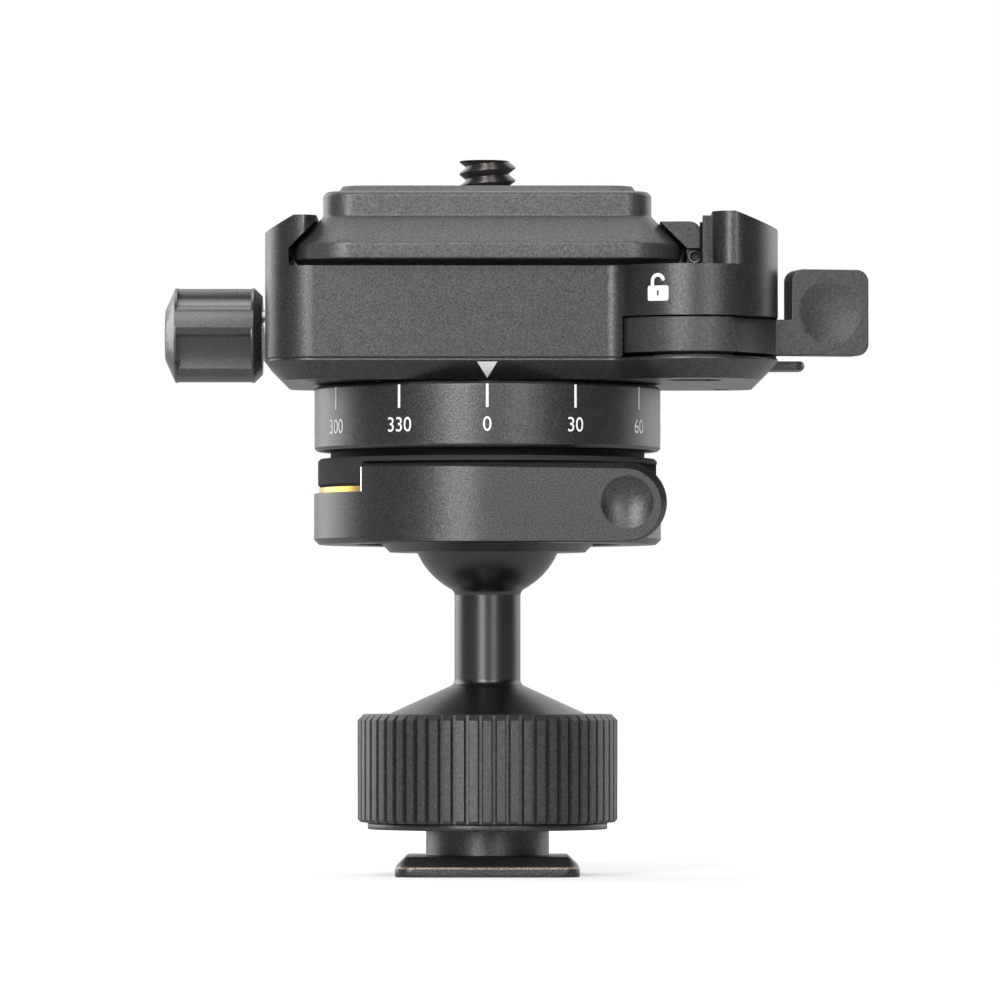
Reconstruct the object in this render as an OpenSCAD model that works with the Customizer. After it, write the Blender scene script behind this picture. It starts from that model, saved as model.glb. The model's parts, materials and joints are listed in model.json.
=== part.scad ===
// Reverse ball head: a cold-shoe foot with a lock ring and a ball stem below,
// and a ball socket, a panning dial and a lever quick-release clamp above.
// Millimetres. +Z is up, the origin is the middle of the foot's underside, and the front is -Y.

/* [Shoe foot] */
// Width and depth of the square foot
foot_w = 18.3; // [17.6:0.1:18.6]
// Thickness of the foot
foot_t = 2; // [1.6:0.1:2.4]
// Chamfer round the foot's upper edge
foot_chamfer = 1.1; // [0.4:0.1:1.3]
// Corner radius of the foot, seen from above
foot_corner_r = 1.8; // [1.5:0.1:4]
// Diameter of the neck that runs between the shoe's rails
neck_d = 12.3; // [10.5:0.1:12.4]
// Free height between the foot and the clamp washer
shoe_gap = 2.6; // [2:0.1:4]
// Diameter of the quarter-inch tapped hole under the foot
tripod_hole_d = 5.2; // [5:0.1:5.4]
// Depth of the tapped hole
tripod_hole_depth = 6; // [4:0.5:7]

/* [Lock ring] */
// Diameter of the clamp washer
washer_d = 24; // [20:0.5:25]
// Thickness of the clamp washer
washer_t = 0.7; // [0.6:0.1:1.5]
// Diameter over the ridges of the lock ring
ring_d = 26; // [25:0.5:30]
// Height of the lock ring
ring_h = 10.8; // [9:0.1:13]
// Number of ridges round the lock ring
ridge_count = 60; // [40:1:72]
// Width of the groove between two ridges
groove_w = 0.7; // [0.3:0.05:0.8]
// Depth of the groove between two ridges
groove_depth = 0.5; // [0.2:0.05:0.6]
// Diameter of the thread that the lock ring runs on
lock_thread_d = 16.8; // [15:0.2:18]

/* [Stem and ball] */
// Width of the lock ring's rim, from the cone shoulder outwards
cone_rim_w = 2.7; // [2.4:0.1:3.2]
// Height of the cone shoulder
cone_h = 3.2; // [2:0.1:5]
// Diameter of the stem
stem_d = 6.6; // [6:0.1:7.4]
// Length of the stem between the cone and the ball
stem_len = 9.3; // [8:0.1:14]
// Fillet at both ends of the stem
stem_fillet_r = 0.7; // [0.3:0.1:1]
// Diameter of the ball
ball_d = 15.4; // [14.6:0.1:16]

/* [Ball socket] */
// Thickness of the liner and of the slip pad round the ball
liner_t = 0.65; // [0.4:0.05:0.9]
// Wall of the collar that closes the socket
collar_wall = 2.1; // [1.8:0.1:2.6]
// Depth of the collar's lower face below the ball's centre
collar_drop = 3.1; // [2.8:0.1:3.6]
// How far the skirt that the lever ring turns on is set in from the housing
skirt_inset = 3.75; // [3.2:0.05:4.4]
// Diameter of the housing
housing_d = 33.9; // [33:0.1:36]
// Height of the housing's outer band
band_h = 2.85; // [2.6:0.05:4.5]
// Thickness of the flange left above the lever's notch
flange_t = 0.5; // [0.4:0.05:1]

/* [Ball lock lever] */
// How far the lever ring stands proud of the housing
lever_ring_proud = 0.4; // [0.2:0.1:1]
// Height of the lever ring
lever_ring_h = 5.05; // [4.4:0.05:6]
// How far the lever's flat front stands proud of its ring
lever_proud = 0.1; // [0.05:0.05:1]
// Gap between the lever and the flange above it
lever_top_gap = 0.25; // [0.15:0.05:0.6]
// Reach of the lever's rounded end to the right of the axis
lever_reach = 17.6; // [16:0.1:24]
// Thickness of the lever
lever_t = 2.8; // [2.2:0.1:3.4]
// Angle from the front to the lever's left end
lever_start = 46.6; // [30:0.2:60]
// Swing of the lever
lever_swing = 60; // [40:1:75]
// Bevel on the lever's upper edge and round its end
lever_bevel = 0.6; // [0.3:0.05:0.8]
// Diameter of the finger dimple
dimple_d = 5.2; // [3:0.1:6]
// Depth of the finger dimple
dimple_depth = 0.7; // [0.3:0.1:1.2]
// How far the brass ring is set back from the housing
brass_inset = 0.1; // [0:0.05:0.3]
// Thickness of the brass ring
brass_t = 0.65; // [0.4:0.05:1]

/* [Panning dial] */
// How far the dial stands proud of the housing
dial_proud = 0.35; // [0.1:0.05:1]
// Height of the dial
dial_h = 6.5; // [5.5:0.1:9]
// Gap between the dial and the housing's band
dial_gap = 0.75; // [0.3:0.05:1]
// Wall of the dial round the housing's neck
dial_wall = 2.8; // [2:0.1:3.6]
// Diameter of the journal that the clamp turns on
journal_d = 14; // [12:0.2:15]
// Diameter of the spindle's head
spindle_d = 18; // [16.8:0.1:18.6]

/* [Pan knob] */
// Diameter of the knob over its ribs
knob_d = 9.5; // [8.8:0.1:9.8]
// Length of the knob
knob_len = 9.7; // [8:0.1:14]
// Number of flutes
knob_flutes = 4; // [4:1:5]
// Width of a rib's face
knob_rib_w = 1.9; // [1.4:0.1:2.2]
// Depth of a flute below the bevels beside it
knob_flute_depth = 0.7; // [0.4:0.05:0.8]
// Diameter of the knob's threaded rod
pan_screw_d = 3.2; // [3:0.1:3.6]

/* [Clamp] */
// Thickness of the base plate
base_t = 2.1; // [1.9:0.1:3]
// Chamfer under the base plate
base_chamfer = 1.8; // [1:0.1:1.85]
// Height from the base plate to the bed of the clamp
bed_h = 9; // [8.9:0.1:11]
// Width of the fixed jaw, from the plate's edge outwards
fixed_jaw_w = 2.9; // [2.6:0.1:5]
// Distance from the axis to the clamp's flat front
clamp_front = 17; // [16.5:0.1:18.5]
// Distance from the axis to the clamp's back
clamp_back = 17.5; // [17:0.1:20]
// Corner radius of the clamp, seen from above
clamp_corner_r = 5; // [4:0.1:6]
// How far the lever's pivot is set in from the right wall
pivot_inset = 1.7; // [0:0.1:1.8]
// Distance of the lever's pivot in front of the axis
pivot_front = 13; // [12.6:0.1:13.4]
// Radius of the boss round the lever's pivot
boss_r = 8.3; // [8.2:0.1:9.5]
// Radius of the hollow curve where the boss meets the front
boss_blend_r = 2.5; // [1.5:0.1:4]
// Height of the fixed jaw above the bed
jaw_h = 5; // [4.8:0.1:5.6]
// Height of the right wall above the bed
wall_h = 5.2; // [4.8:0.1:6]
// Gap between the closed jaw and the right wall
jaw_wall_gap = 0.9; // [0.85:0.05:1.3]

/* [Clamp lever and jaw] */
// Height of the lever's hub
hub_h = 3.5; // [3:0.1:3.6]
// Thickness of the lever's thumb tab
tab_t = 3; // [2.4:0.1:3.4]
// Width of the thumb tab, outwards from the pivot
tab_w = 7.9; // [7.4:0.1:12]
// Height of the thumb tab
tab_h = 8.5; // [7:0.1:9.2]
// Angle of the closed lever, turned to the back
lever_rest = 14; // [0:1:18]
// Angle from the closed lever to the open lever
lever_open = 120; // [90:1:125]
// Travel of the jaw between closed and open
jaw_travel = 0.75; // [0.4:0.05:0.75]
// Length of the moving jaw
jaw_len = 31; // [24:0.5:33]
// Thickness of the moving jaw above the bed
jaw_t = 1.5; // [1.2:0.1:1.5]
// Reach of the safety button out of the base plate
button_reach = 2.8; // [1.5:0.1:4]
// Width of the safety button
button_w = 4.8; // [3:0.1:5]

/* [Quick-release plate] */
// Width of the plate across its dovetail
plate_w = 38; // [37.6:0.1:38.2]
// Height of the plate's upright edge
plate_edge_h = 1.5; // [1.2:0.1:1.8]
// Height and width of the 45 degree dovetail slope
dovetail_h = 2.85; // [2.7:0.05:3.1]
// Height of the block above the dovetail
plate_block_h = 2.45; // [2.4:0.05:3.4]
// Corner radius of that block
plate_corner_r = 3; // [1.5:0.1:5]
// Gap between the plate and the bed
plate_lift = 0.6; // [0.4:0.05:0.8]
// Width of the rubber pad
pad_w = 29.4; // [24:0.1:31]
// Thickness of the rubber pad
pad_t = 0.6; // [0.4:0.1:1]
// Diameter of the quarter-inch camera screw
screw_d = 6; // [5.8:0.05:6.35]
// Reach of the camera screw above the pad
screw_reach = 3.3; // [2.5:0.1:5]
// Rise of the captive camera screw
screw_rise = 1.2; // [0.6:0.1:1.2]

/* [Hidden] */
$fn = 72;

// Clearances: fixed seats, turning fits, flat slip faces and free space
fit_gap = 0.02;
run_gap = 0.06;
slip_gap = 0.1;
free_gap = 0.3;
// How far a cutter runs past the face that it opens
past = 1;

// Colours
anodised = "#3f3f41";
plate_grey = "#59595b";
moulded = "#353537";
gloss_black = "#2a2a2c";
rubber = "#2c2c2d";
steel = "#9a9a9c";
dark_steel = "#4a4a4d";
brass = "#d9b368";
nylon = "#e6e4dc";

// Shoe foot and lock ring
neck_r = neck_d / 2;
z_washer = foot_t + shoe_gap;
z_ring = z_washer + washer_t;
z_ring_top = z_ring + ring_h;
ring_r = ring_d / 2;
ring_floor_t = 1.7;
ring_head_room = 1;
z_neck_top = z_ring + ring_floor_t + ring_head_room;
spigot_r = 4.2;
spigot_len = 4.4;
ring_foot_chamfer = 0.3;
ring_rim_chamfer = 0.6;

// Stem and ball
cone_r = ring_r - cone_rim_w;
cone_foot_h = 2.7;
cone_sink = 0.2;
stem_r = stem_d / 2;
ball_r = ball_d / 2;
z_cone = z_ring_top - cone_sink;
z_cone_foot = z_cone - cone_foot_h;
z_stem = z_cone + cone_h;
z_ball = z_stem + stem_len + sqrt(ball_r * ball_r - stem_r * stem_r);
// The ring's recess round the cone's foot
ring_recess_r = cone_r + free_gap;
ring_recess_gap = 0.8;
z_ring_recess = z_cone_foot - ring_recess_gap;

// Ball socket
liner_in = ball_r + run_gap;
liner_out = liner_in + liner_t;
cavity_r = liner_out + run_gap;
pad_half_angle = 25;
liner_top_angle = 70;
liner_low_angle = 105;
z_collar = z_ball - collar_drop;
collar_r = cavity_r + collar_wall;
collar_chamfer = 0.8;
collar_h = 2.6;
z_collar_top = z_collar + collar_h;
mouth_gap = 0.15;
mouth_r = sqrt(ball_r * ball_r - collar_drop * collar_drop) + mouth_gap;
housing_r = housing_d / 2;
skirt_r = housing_r - skirt_inset;

// Ball lock lever, brass ring and band, stacked on the lever ring's foot
lever_ring_drop = 2.35;
z_lever_ring = z_ball - lever_ring_drop;
z_brass = z_lever_ring + lever_ring_h;
z_band = z_brass + brass_t;
z_band_top = z_band + band_h;
z_notch_top = z_band_top - flange_t;
lever_h = z_notch_top - lever_top_gap - z_lever_ring;
lever_ring_r = housing_r + lever_ring_proud;
lever_front = lever_ring_r + lever_proud;
lever_ring_chamfer = 0.5;
lever_wall = 2;
notch_gap = 0.15;
notch_r = lever_front - lever_wall - notch_gap;
lever_end_r = lever_h / 2;
z_lever_mid = z_lever_ring + lever_end_r;
lever_end_x = lever_reach - lever_end_r;
// The bevel is a cone set off from the lever's round end, so it runs out towards the lower edge
bevel_shift = 0.27;
bevel_r = lever_end_r - lever_bevel + bevel_shift;
bevel_mid = [lever_end_x - bevel_shift, z_lever_mid - bevel_shift];
notch_start = -90 - lever_start;
notch_sweep = lever_start + acos((lever_front - lever_t) / housing_r) + lever_swing + 4;

// Panning dial and spindle
dial_r = housing_r + dial_proud;
dial_neck_r = dial_r - dial_wall;
dial_chamfer = 0.3;
z_dial = z_band_top + dial_gap;
z_dial_top = z_dial + dial_h;
neck_seat_drop = 0.25;
z_neck_seat = z_dial_top - neck_seat_drop;
journal_r = journal_d / 2;
spindle_r = spindle_d / 2;
spindle_h = 5.2;
brake_groove_depth = 0.8;
spindle_screw_r = 2.5;
spindle_screw_head_r = 4.2;
spindle_screw_head_h = 3;
socket_roof = 1.2;
z_spindle_screw = z_ball + cavity_r + socket_roof;

// Jaws and right wall, from the plate's edge outwards
dovetail_gap = 0.15;
jaw_gap = 0.25;
edge_room = 0.35;
fixed_line_x = plate_w / 2 + dovetail_gap;
channel_x = fixed_line_x + edge_room;
clamp_left = plate_w / 2 + fixed_jaw_w;
jaw_line_x = plate_w / 2 + jaw_gap;
jaw_face_x = jaw_line_x + edge_room;
jaw_back_x = jaw_face_x + jaw_t;
wall_x = jaw_back_x + jaw_wall_gap;
pivot_x = wall_x - pivot_inset;

// Clamp
base_clear = 0.2;
z_base = z_dial_top + base_clear;
z_body = z_base + base_t;
z_bed = z_body + bed_h;
z_spindle_head = z_body + slip_gap;
z_spindle_top = z_spindle_head + spindle_h;
pan_washer_t = z_base - z_neck_seat - slip_gap;
pan_washer_inset = 1;
pivot = [pivot_x, -pivot_front];
clamp_right = pivot_x + boss_r;
clamp_wide = clamp_left + clamp_right;
clamp_deep = clamp_front + clamp_back;
clamp_mid = [(clamp_right - clamp_left) / 2, (clamp_back - clamp_front) / 2];
blend_dy = clamp_front + boss_blend_r - pivot_front;
blend_dx = sqrt(pow(boss_r + boss_blend_r, 2) - blend_dy * blend_dy);
blend = [pivot_x - blend_dx, -clamp_front - boss_blend_r];
blend_touch = pivot + (blend - pivot) * boss_r / (boss_r + boss_blend_r);

// Quick-release plate
z_plate = z_bed + plate_lift;
z_edge_top = z_plate + plate_edge_h;
z_block = z_edge_top + dovetail_h;
z_plate_top = z_block + plate_block_h;
z_pad_top = z_plate_top + pad_t;
z_screw_tip = z_pad_top + screw_reach;
block_w = plate_w - 2 * dovetail_h;
plate_top_chamfer = 0.4;
pad_taper = 0.4;
screw_r = screw_d / 2;
screw_head_r = 6;
screw_head_h = 1.6;
screw_head_room = 0.5;
screw_chamfer = 0.5;
screw_head_chamfer = 0.3;
screw_shank_inset = 0.35;
screw_shank_r = screw_r - screw_shank_inset;
screw_thread_lift = 0.15;
z_screw_head = z_plate + screw_head_room;
screw_top_room = 0.2;
z_web_low = z_screw_head + screw_head_h + screw_rise + screw_top_room;
web_t = 1.5;
z_web_top = z_web_low + web_t;
clip_t = 0.5;
clip_r = 4.6;
clip_gap_w = 2.4;
clip_bite = 0.4;
clip_in_r = screw_shank_r - clip_bite;
clip_well_r = clip_r + free_gap;
z_clip = z_web_top + slip_gap;

// Fixed jaw and right wall
jaw_lip_h = 0.5;
z_fixed_jaw = z_bed + jaw_h;
z_lip = z_fixed_jaw - jaw_lip_h;
fixed_lip_x = fixed_line_x - (z_lip - z_edge_top);
slope_run = 2.9;
slope_drop = 1.6;
jaw_end_r = 1.8;
wall_slope_run = 4.4;
wall_slope_drop = 1.6;
wall_end_r = 2;
jaw_stop_t = 1.2;
jaw_stop_drop = 0.3;
z_wall = z_bed + wall_h;
wall_end_dx = wall_x + wall_end_r - pivot_x;
wall_end = [
    wall_x + wall_end_r,
    -pivot_front - sqrt(pow(boss_r - wall_end_r, 2) - wall_end_dx * wall_end_dx)
];
wall_end_out = pivot + (wall_end - pivot) * (boss_r + past) / (boss_r - wall_end_r);

// Moving jaw, its foot under the bed and its cam
jaw_top_room = 0.6;
z_jaw_top = z_fixed_jaw - jaw_top_room;
jaw_tip_x = jaw_line_x - (z_jaw_top - z_edge_top);
jaw_round_r = 1.3;
jaw_lift = 0.15;
jaw_end_step = 1.2;
web_front = 7;
web_back = 10;
hub_lift = 0.4;
hub_inset = 0.3;
hub_r = boss_r - hub_inset;
z_hub = z_body + hub_lift;
z_hub_top = z_hub + hub_h;
slot_r = boss_r + slip_gap;
slot_back = 4.6;
z_slot_top = z_hub_top + slip_gap;
foot_plate_t = 1.2;
z_foot_plate = z_slot_top + free_gap;
z_pocket = z_foot_plate + foot_plate_t + free_gap;
follower_r = 0.8;
follower_start = 5.2;
cam_clear = 0.2;
cam_depth = 3;
cam_steps = 24;
follower_x = pivot_x - follower_start;
foot_arm_w = 2.7;
foot_overhang = 1.4;
foot_front = pivot_front + foot_overhang;
foot_link_w = 1.7;
guide_pin_r = 0.9;
guide_pin_ys = [-2.6, 7.4];
guide_pin_root = 2;
guide_pin_bite = 4.5;
guide_lift = 0.75;
z_guide = z_pocket + guide_lift;
spring_r = 1.35;
spring_wire_r = 0.22;
spring_turns = 5;
spring_room = 0.2;
spring_well_r = spring_r + spring_wire_r + spring_room;
spring_len = 5.6;
well_x = jaw_face_x - spring_len;

// Lever pivot, lever tab and safety button
pivot_r = 2;
pivot_thread_r = 1.75;
pivot_head_r = 2.7;
pivot_head_h = 1.3;
pivot_head_sink = 0.2;
pivot_bite = 4;
tab_gap = 1.35;
tab_start = boss_r + tab_gap;
tab_corner_r = 1.2;
dish_r = 14;
dish_depth = 0.4;
lever_washer_r = 4;
lever_washer_t = 0.3;
button_t = 0.9;
button_floor = 1;
button_travel = 1.2;
button_y = -7;
button_shoulder = 0.8;
button_mouth = 2.6;
button_body_len = 3.3;
button_round_r = 1.2;
z_button = z_base + button_floor + slip_gap;
z_button_mid = z_button + button_t / 2;
button_stop_x = clamp_right - button_mouth;
button_back_x = button_stop_x - slip_gap - button_body_len;
button_spring_len = 2.4;
button_spring_r = 0.34;
button_wire_r = 0.11;
button_spring_turns = 4;
button_well_x = button_back_x - button_spring_len - slip_gap;

// Base plate screws: where they stand and their size
base_screw_inset = [4.9, 5.1];
base_screw_left = base_screw_inset[0] - clamp_left;
base_screw_back = clamp_back - base_screw_inset[1];
base_screw_front = base_screw_inset[1] - clamp_front;
base_screw_places = [
    [base_screw_left, base_screw_front],
    [base_screw_left, base_screw_back],
    [clamp_right - base_screw_inset[0], base_screw_back],
    [blend[0] - base_screw_inset[0], base_screw_front]
];
base_screw_r = 1.25;
base_screw_head_r = 2.2;
base_screw_head_h = 1.2;
base_screw_bite = 4.6;

// Pan knob, its rod and its brake shoe
knob_r = knob_d / 2;
knob_gap = 0.6;
knob_chamfer = 0.8;
knob_dome_h = 1;
knob_dome_w = 2.2;
knob_x = -clamp_left - knob_gap;
knob_rib_half_angle = asin(knob_rib_w / knob_d);
knob_flat_half_angle = 180 / knob_flutes - knob_rib_half_angle;
knob_flat_x = knob_r * cos(knob_flat_half_angle);
knob_bevel_w = 0.75;
knob_flute_half_w = knob_r * sin(knob_flat_half_angle) - knob_bevel_w;
knob_flute_r = (pow(knob_flute_half_w, 2) + pow(knob_flute_depth, 2)) / (2 * knob_flute_depth);
knob_land = 0.25;
knob_turn = 19;
knob_lift = 2.75;
z_knob = z_spindle_head + knob_lift;
pan_screw_r = pan_screw_d / 2;
pan_rod_in_knob = 7;
brake_r = 2.2;
brake_len = 2.7;
brake_x = -(spindle_r - brake_groove_depth) - free_gap;
brake_back_x = brake_x - brake_groove_depth - brake_len;
brake_travel = 0.7;
pan_cavity_gap = 0.4;
pan_cavity_r = spindle_r + pan_cavity_gap;
knob_washer_r = 2.6;
knob_washer_t = 0.35;

// Shapes that several pieces share

// A block with rounded upright corners
module rounded_block(w, d, r, h) {
    linear_extrude(h) rounded_square(w, d, r);
}

module rounded_square(w, d, r) {
    square([w, d - 2 * r], center = true);
    square([w - 2 * r, d], center = true);
    for (x = [-1, 1], y = [-1, 1])
        translate([x * (w / 2 - r), y * (d / 2 - r)]) circle(r);
}

// The same block with its four sides drawn in by inset at the top
module rounded_frustum(w, d, r, h, inset) {
    rotate([90, 0, 0])
        linear_extrude(d - 2 * r, center = true)
            polygon([[-w / 2, 0], [w / 2, 0], [w / 2 - inset, h], [inset - w / 2, h]]);
    rotate([90, 0, 90])
        linear_extrude(w - 2 * r, center = true)
            polygon([[-d / 2, 0], [d / 2, 0], [d / 2 - inset, h], [inset - d / 2, h]]);
    for (x = [-1, 1], y = [-1, 1])
        translate([x * (w / 2 - r), y * (d / 2 - r), 0]) cylinder(r1 = r, r2 = r - inset, h = h);
}

// A flat ring between two heights
module ring(r_out, r_in, z_low, z_high) {
    translate([0, 0, z_low])
        difference() {
            cylinder(r = r_out, h = z_high - z_low);
            translate([0, 0, -past]) cylinder(r = r_in, h = z_high - z_low + 2 * past);
        }
}

// A zone of a spherical shell round the ball, between two angles from its crown
module ball_zone(r_in, r_out, top_angle, low_angle) {
    far = 2 * r_out;
    translate([0, 0, z_ball])
        rotate_extrude()
            intersection() {
                difference() {
                    circle(r_out);
                    circle(r_in);
                }
                polygon([
                    [0, 0],
                    far * [sin(low_angle), cos(low_angle)],
                    far * [sin((low_angle + top_angle) / 2), cos((low_angle + top_angle) / 2)],
                    far * [sin(top_angle), cos(top_angle)]
                ]);
            }
}

// A round wire wound into a spring along +X
module coil_spring(r, wire_r, len, turns) {
    rings = turns * 8;
    sides = 6;
    points = [
        for (i = [0 : rings], k = [0 : sides - 1])
            let (turn = 360 * i / 8, side = 360 * k / sides, reach = r + wire_r * cos(side))
            [
                wire_r + (len - 2 * wire_r) * i / rings + wire_r * sin(side),
                reach * cos(turn),
                reach * sin(turn)
            ]
    ];
    walls = [
        for (i = [0 : rings - 1], k = [0 : sides - 1], half = [0, 1])
            let (
                a = i * sides + k,
                b = i * sides + (k + 1) % sides
            )
            half == 0 ? [a, a + sides, b] : [b, a + sides, b + sides]
    ];
    first_end = [for (k = [1 : sides - 2]) [0, k, k + 1]];
    last = rings * sides;
    last_end = [for (k = [1 : sides - 2]) [last, last + k + 1, last + k]];
    polyhedron(points, concat(walls, first_end, last_end));
}

// The clamp's outline as a slab, drawn in by inset at its foot
module clamp_slab(h, inset = 0) {
    translate([clamp_mid[0], clamp_mid[1], h])
        mirror([0, 0, 1]) rounded_frustum(clamp_wide, clamp_deep, clamp_corner_r, h, inset);
    translate([pivot[0], pivot[1], 0]) cylinder(r1 = boss_r - inset, r2 = boss_r, h = h);
    difference() {
        linear_extrude(h)
            polygon([[blend[0], -clamp_front], blend_touch, pivot, [blend[0], -pivot_front]]);
        translate([blend[0], blend[1], 0])
            cylinder(r1 = boss_blend_r + inset, r2 = boss_blend_r, h = h);
    }
}

// The wedge, seen from above, in which the housing makes room for the ball lock lever
module notch_cutter(z_low, z_high) {
    far = 2 * housing_r;
    translate([0, 0, z_low])
        linear_extrude(z_high - z_low)
            difference() {
                polygon(concat(
                    [[0, 0]],
                    [for (i = [0 : 4])
                        let (a = notch_start + notch_sweep * i / 4)
                        far * [cos(a), sin(a)]]
                ));
                circle(notch_r);
            }
}

// The foot, clamp washer and lock ring

module shoe_foot() {
    color(anodised)
        difference() {
            union() {
                rounded_block(foot_w, foot_w, foot_corner_r, foot_t - foot_chamfer);
                translate([0, 0, foot_t - foot_chamfer])
                    rounded_frustum(foot_w, foot_w, foot_corner_r, foot_chamfer, foot_chamfer);
                cylinder(r = neck_r, h = z_neck_top);
                cylinder(r = spigot_r, h = z_neck_top + spigot_len);
            }
            translate([0, 0, -past]) cylinder(d = tripod_hole_d, h = tripod_hole_depth + past);
        }
}

module clamp_washer() {
    color(anodised) ring(washer_d / 2, neck_r + free_gap, z_washer, z_ring - fit_gap);
}

module knurl_outline() {
    difference() {
        circle(ring_r);
        for (i = [0 : ridge_count - 1])
            rotate(360 * (i + 0.5) / ridge_count)
                translate([ring_r - groove_depth, 0])
                    polygon([
                        [0, -groove_w / 5],
                        [groove_depth + past, -groove_w / 2 - past / 5],
                        [groove_depth + past, groove_w / 2 + past / 5],
                        [0, groove_w / 5]
                    ]);
    }
}

module lock_ring() {
    color(moulded)
        difference() {
            intersection() {
                translate([0, 0, z_ring]) linear_extrude(ring_h) knurl_outline();
                rotate_extrude()
                    polygon([
                        [0, z_ring],
                        [ring_r - ring_foot_chamfer, z_ring],
                        [ring_r, z_ring + ring_foot_chamfer],
                        [ring_r, z_ring_top - ring_rim_chamfer],
                        [ring_r - ring_rim_chamfer, z_ring_top],
                        [0, z_ring_top]
                    ]);
            }
            translate([0, 0, z_ring - past]) cylinder(r = neck_r + free_gap, h = ring_h);
            translate([0, 0, z_ring + ring_floor_t]) cylinder(r = lock_thread_d / 2 + run_gap, h = ring_h);
            translate([0, 0, z_ring_recess]) cylinder(r = ring_recess_r, h = ring_h);
        }
}

// The stem, the ball and its socket

module stem_profile() {
    slope_len = sqrt(cone_h * cone_h + pow(cone_r - stem_r, 2));
    slope_out = [cone_h, cone_r - stem_r] / slope_len;
    low = [stem_r + stem_fillet_r, z_stem + stem_fillet_r * (1 - slope_out[0]) / slope_out[1]];
    high_r = ball_r + stem_fillet_r;
    high = [low[0], z_ball - sqrt(high_r * high_r - low[0] * low[0])];
    ball_mid = [0, z_ball];
    polygon([
        [0, z_neck_top],
        [lock_thread_d / 2, z_neck_top],
        [lock_thread_d / 2, z_cone_foot],
        [cone_r, z_cone_foot],
        [cone_r, z_cone],
        [stem_r, z_stem],
        [stem_r, z_ball],
        [0, z_ball]
    ]);
    intersection() {
        translate(ball_mid) circle(ball_r);
        translate([0, z_ball - ball_r]) square(2 * ball_r);
    }
    difference() {
        polygon([[stem_r, z_stem], low - stem_fillet_r * slope_out, low, [stem_r, low[1]]]);
        translate(low) circle(stem_fillet_r);
    }
    difference() {
        polygon([[stem_r, high[1]], high, ball_mid + (high - ball_mid) * ball_r / high_r, [stem_r, z_ball]]);
        translate(high) circle(stem_fillet_r);
    }
}

module ball_stem() {
    color(gloss_black)
        difference() {
            rotate_extrude() stem_profile();
            translate([0, 0, z_neck_top - past])
                cylinder(r = spigot_r + fit_gap, h = spigot_len + free_gap + past);
        }
}

module ball_top_pad() {
    color(nylon) ball_zone(liner_in, liner_out, 0, pad_half_angle);
}

module ball_liner() {
    color(nylon) ball_zone(liner_in, liner_out, liner_top_angle, liner_low_angle);
}

module socket_collar() {
    z_liner_low = z_ball + liner_out * cos(liner_low_angle);
    color(anodised)
        difference() {
            rotate_extrude()
                polygon([
                    [0, z_collar],
                    [collar_r - collar_chamfer, z_collar],
                    [collar_r, z_collar + collar_chamfer],
                    [collar_r, z_collar_top],
                    [0, z_collar_top]
                ]);
            translate([0, 0, z_collar - past]) cylinder(r = mouth_r, h = collar_h + 2 * past);
            translate([0, 0, z_ball]) sphere(liner_in + slip_gap);
            intersection() {
                translate([0, 0, z_ball]) sphere(cavity_r);
                translate([0, 0, z_liner_low - slip_gap]) cylinder(r = collar_r, h = collar_h);
            }
        }
}

module housing() {
    edge = 0.25;
    collar_seat = 0.7;
    color(anodised)
        difference() {
            rotate_extrude()
                polygon([
                    [0, z_lever_ring + collar_seat],
                    [skirt_r, z_lever_ring + collar_seat],
                    [skirt_r, z_band],
                    [housing_r - edge, z_band],
                    [housing_r, z_band + edge],
                    [housing_r, z_band_top - edge],
                    [housing_r - edge, z_band_top],
                    [dial_neck_r, z_band_top],
                    [dial_neck_r, z_neck_seat],
                    [0, z_neck_seat]
                ]);
            translate([0, 0, z_ball]) sphere(cavity_r);
            translate([0, 0, z_collar]) cylinder(r = collar_r + fit_gap, h = collar_h + fit_gap);
            translate([0, 0, z_spindle_screw])
                cylinder(r = spindle_screw_r + fit_gap, h = z_neck_seat - z_spindle_screw + past);
            notch_cutter(z_band - past, z_notch_top);
        }
}

module brass_ring() {
    color(brass)
        difference() {
            ring(housing_r - brass_inset, skirt_r + run_gap, z_brass + slip_gap / 2, z_band - slip_gap / 2);
            notch_cutter(z_brass - past, z_band + past);
        }
}

// The lever's outline seen from the front: a long bar with a round end
module lever_face() {
    translate([0, z_lever_ring]) square([lever_end_x, lever_h]);
    translate([lever_end_x, z_lever_mid]) circle(lever_end_r);
}

// What the bevel takes off the lever's upper edge and its round end
module lever_bevel_cutter() {
    run_out = atan(0.75 * lever_bevel / bevel_mid[0]);
    depth = lever_bevel + past;
    difference() {
        translate([bevel_mid[0], -lever_front - past, z_lever_ring - past])
            cube([lever_end_r + past, depth, lever_h + 2 * past]);
        translate([bevel_mid[0], -lever_front - past, bevel_mid[1]])
            rotate([-90, 0, 0]) cylinder(r1 = bevel_r - past, r2 = bevel_r + depth, h = depth + past);
    }
    translate([bevel_mid[0], -lever_front, bevel_mid[1] + bevel_r])
        rotate([0, run_out, 0])
            rotate([45, 0, 0]) translate([-bevel_mid[0], -past, 0]) cube([bevel_mid[0], 3 * past, past]);
}

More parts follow.
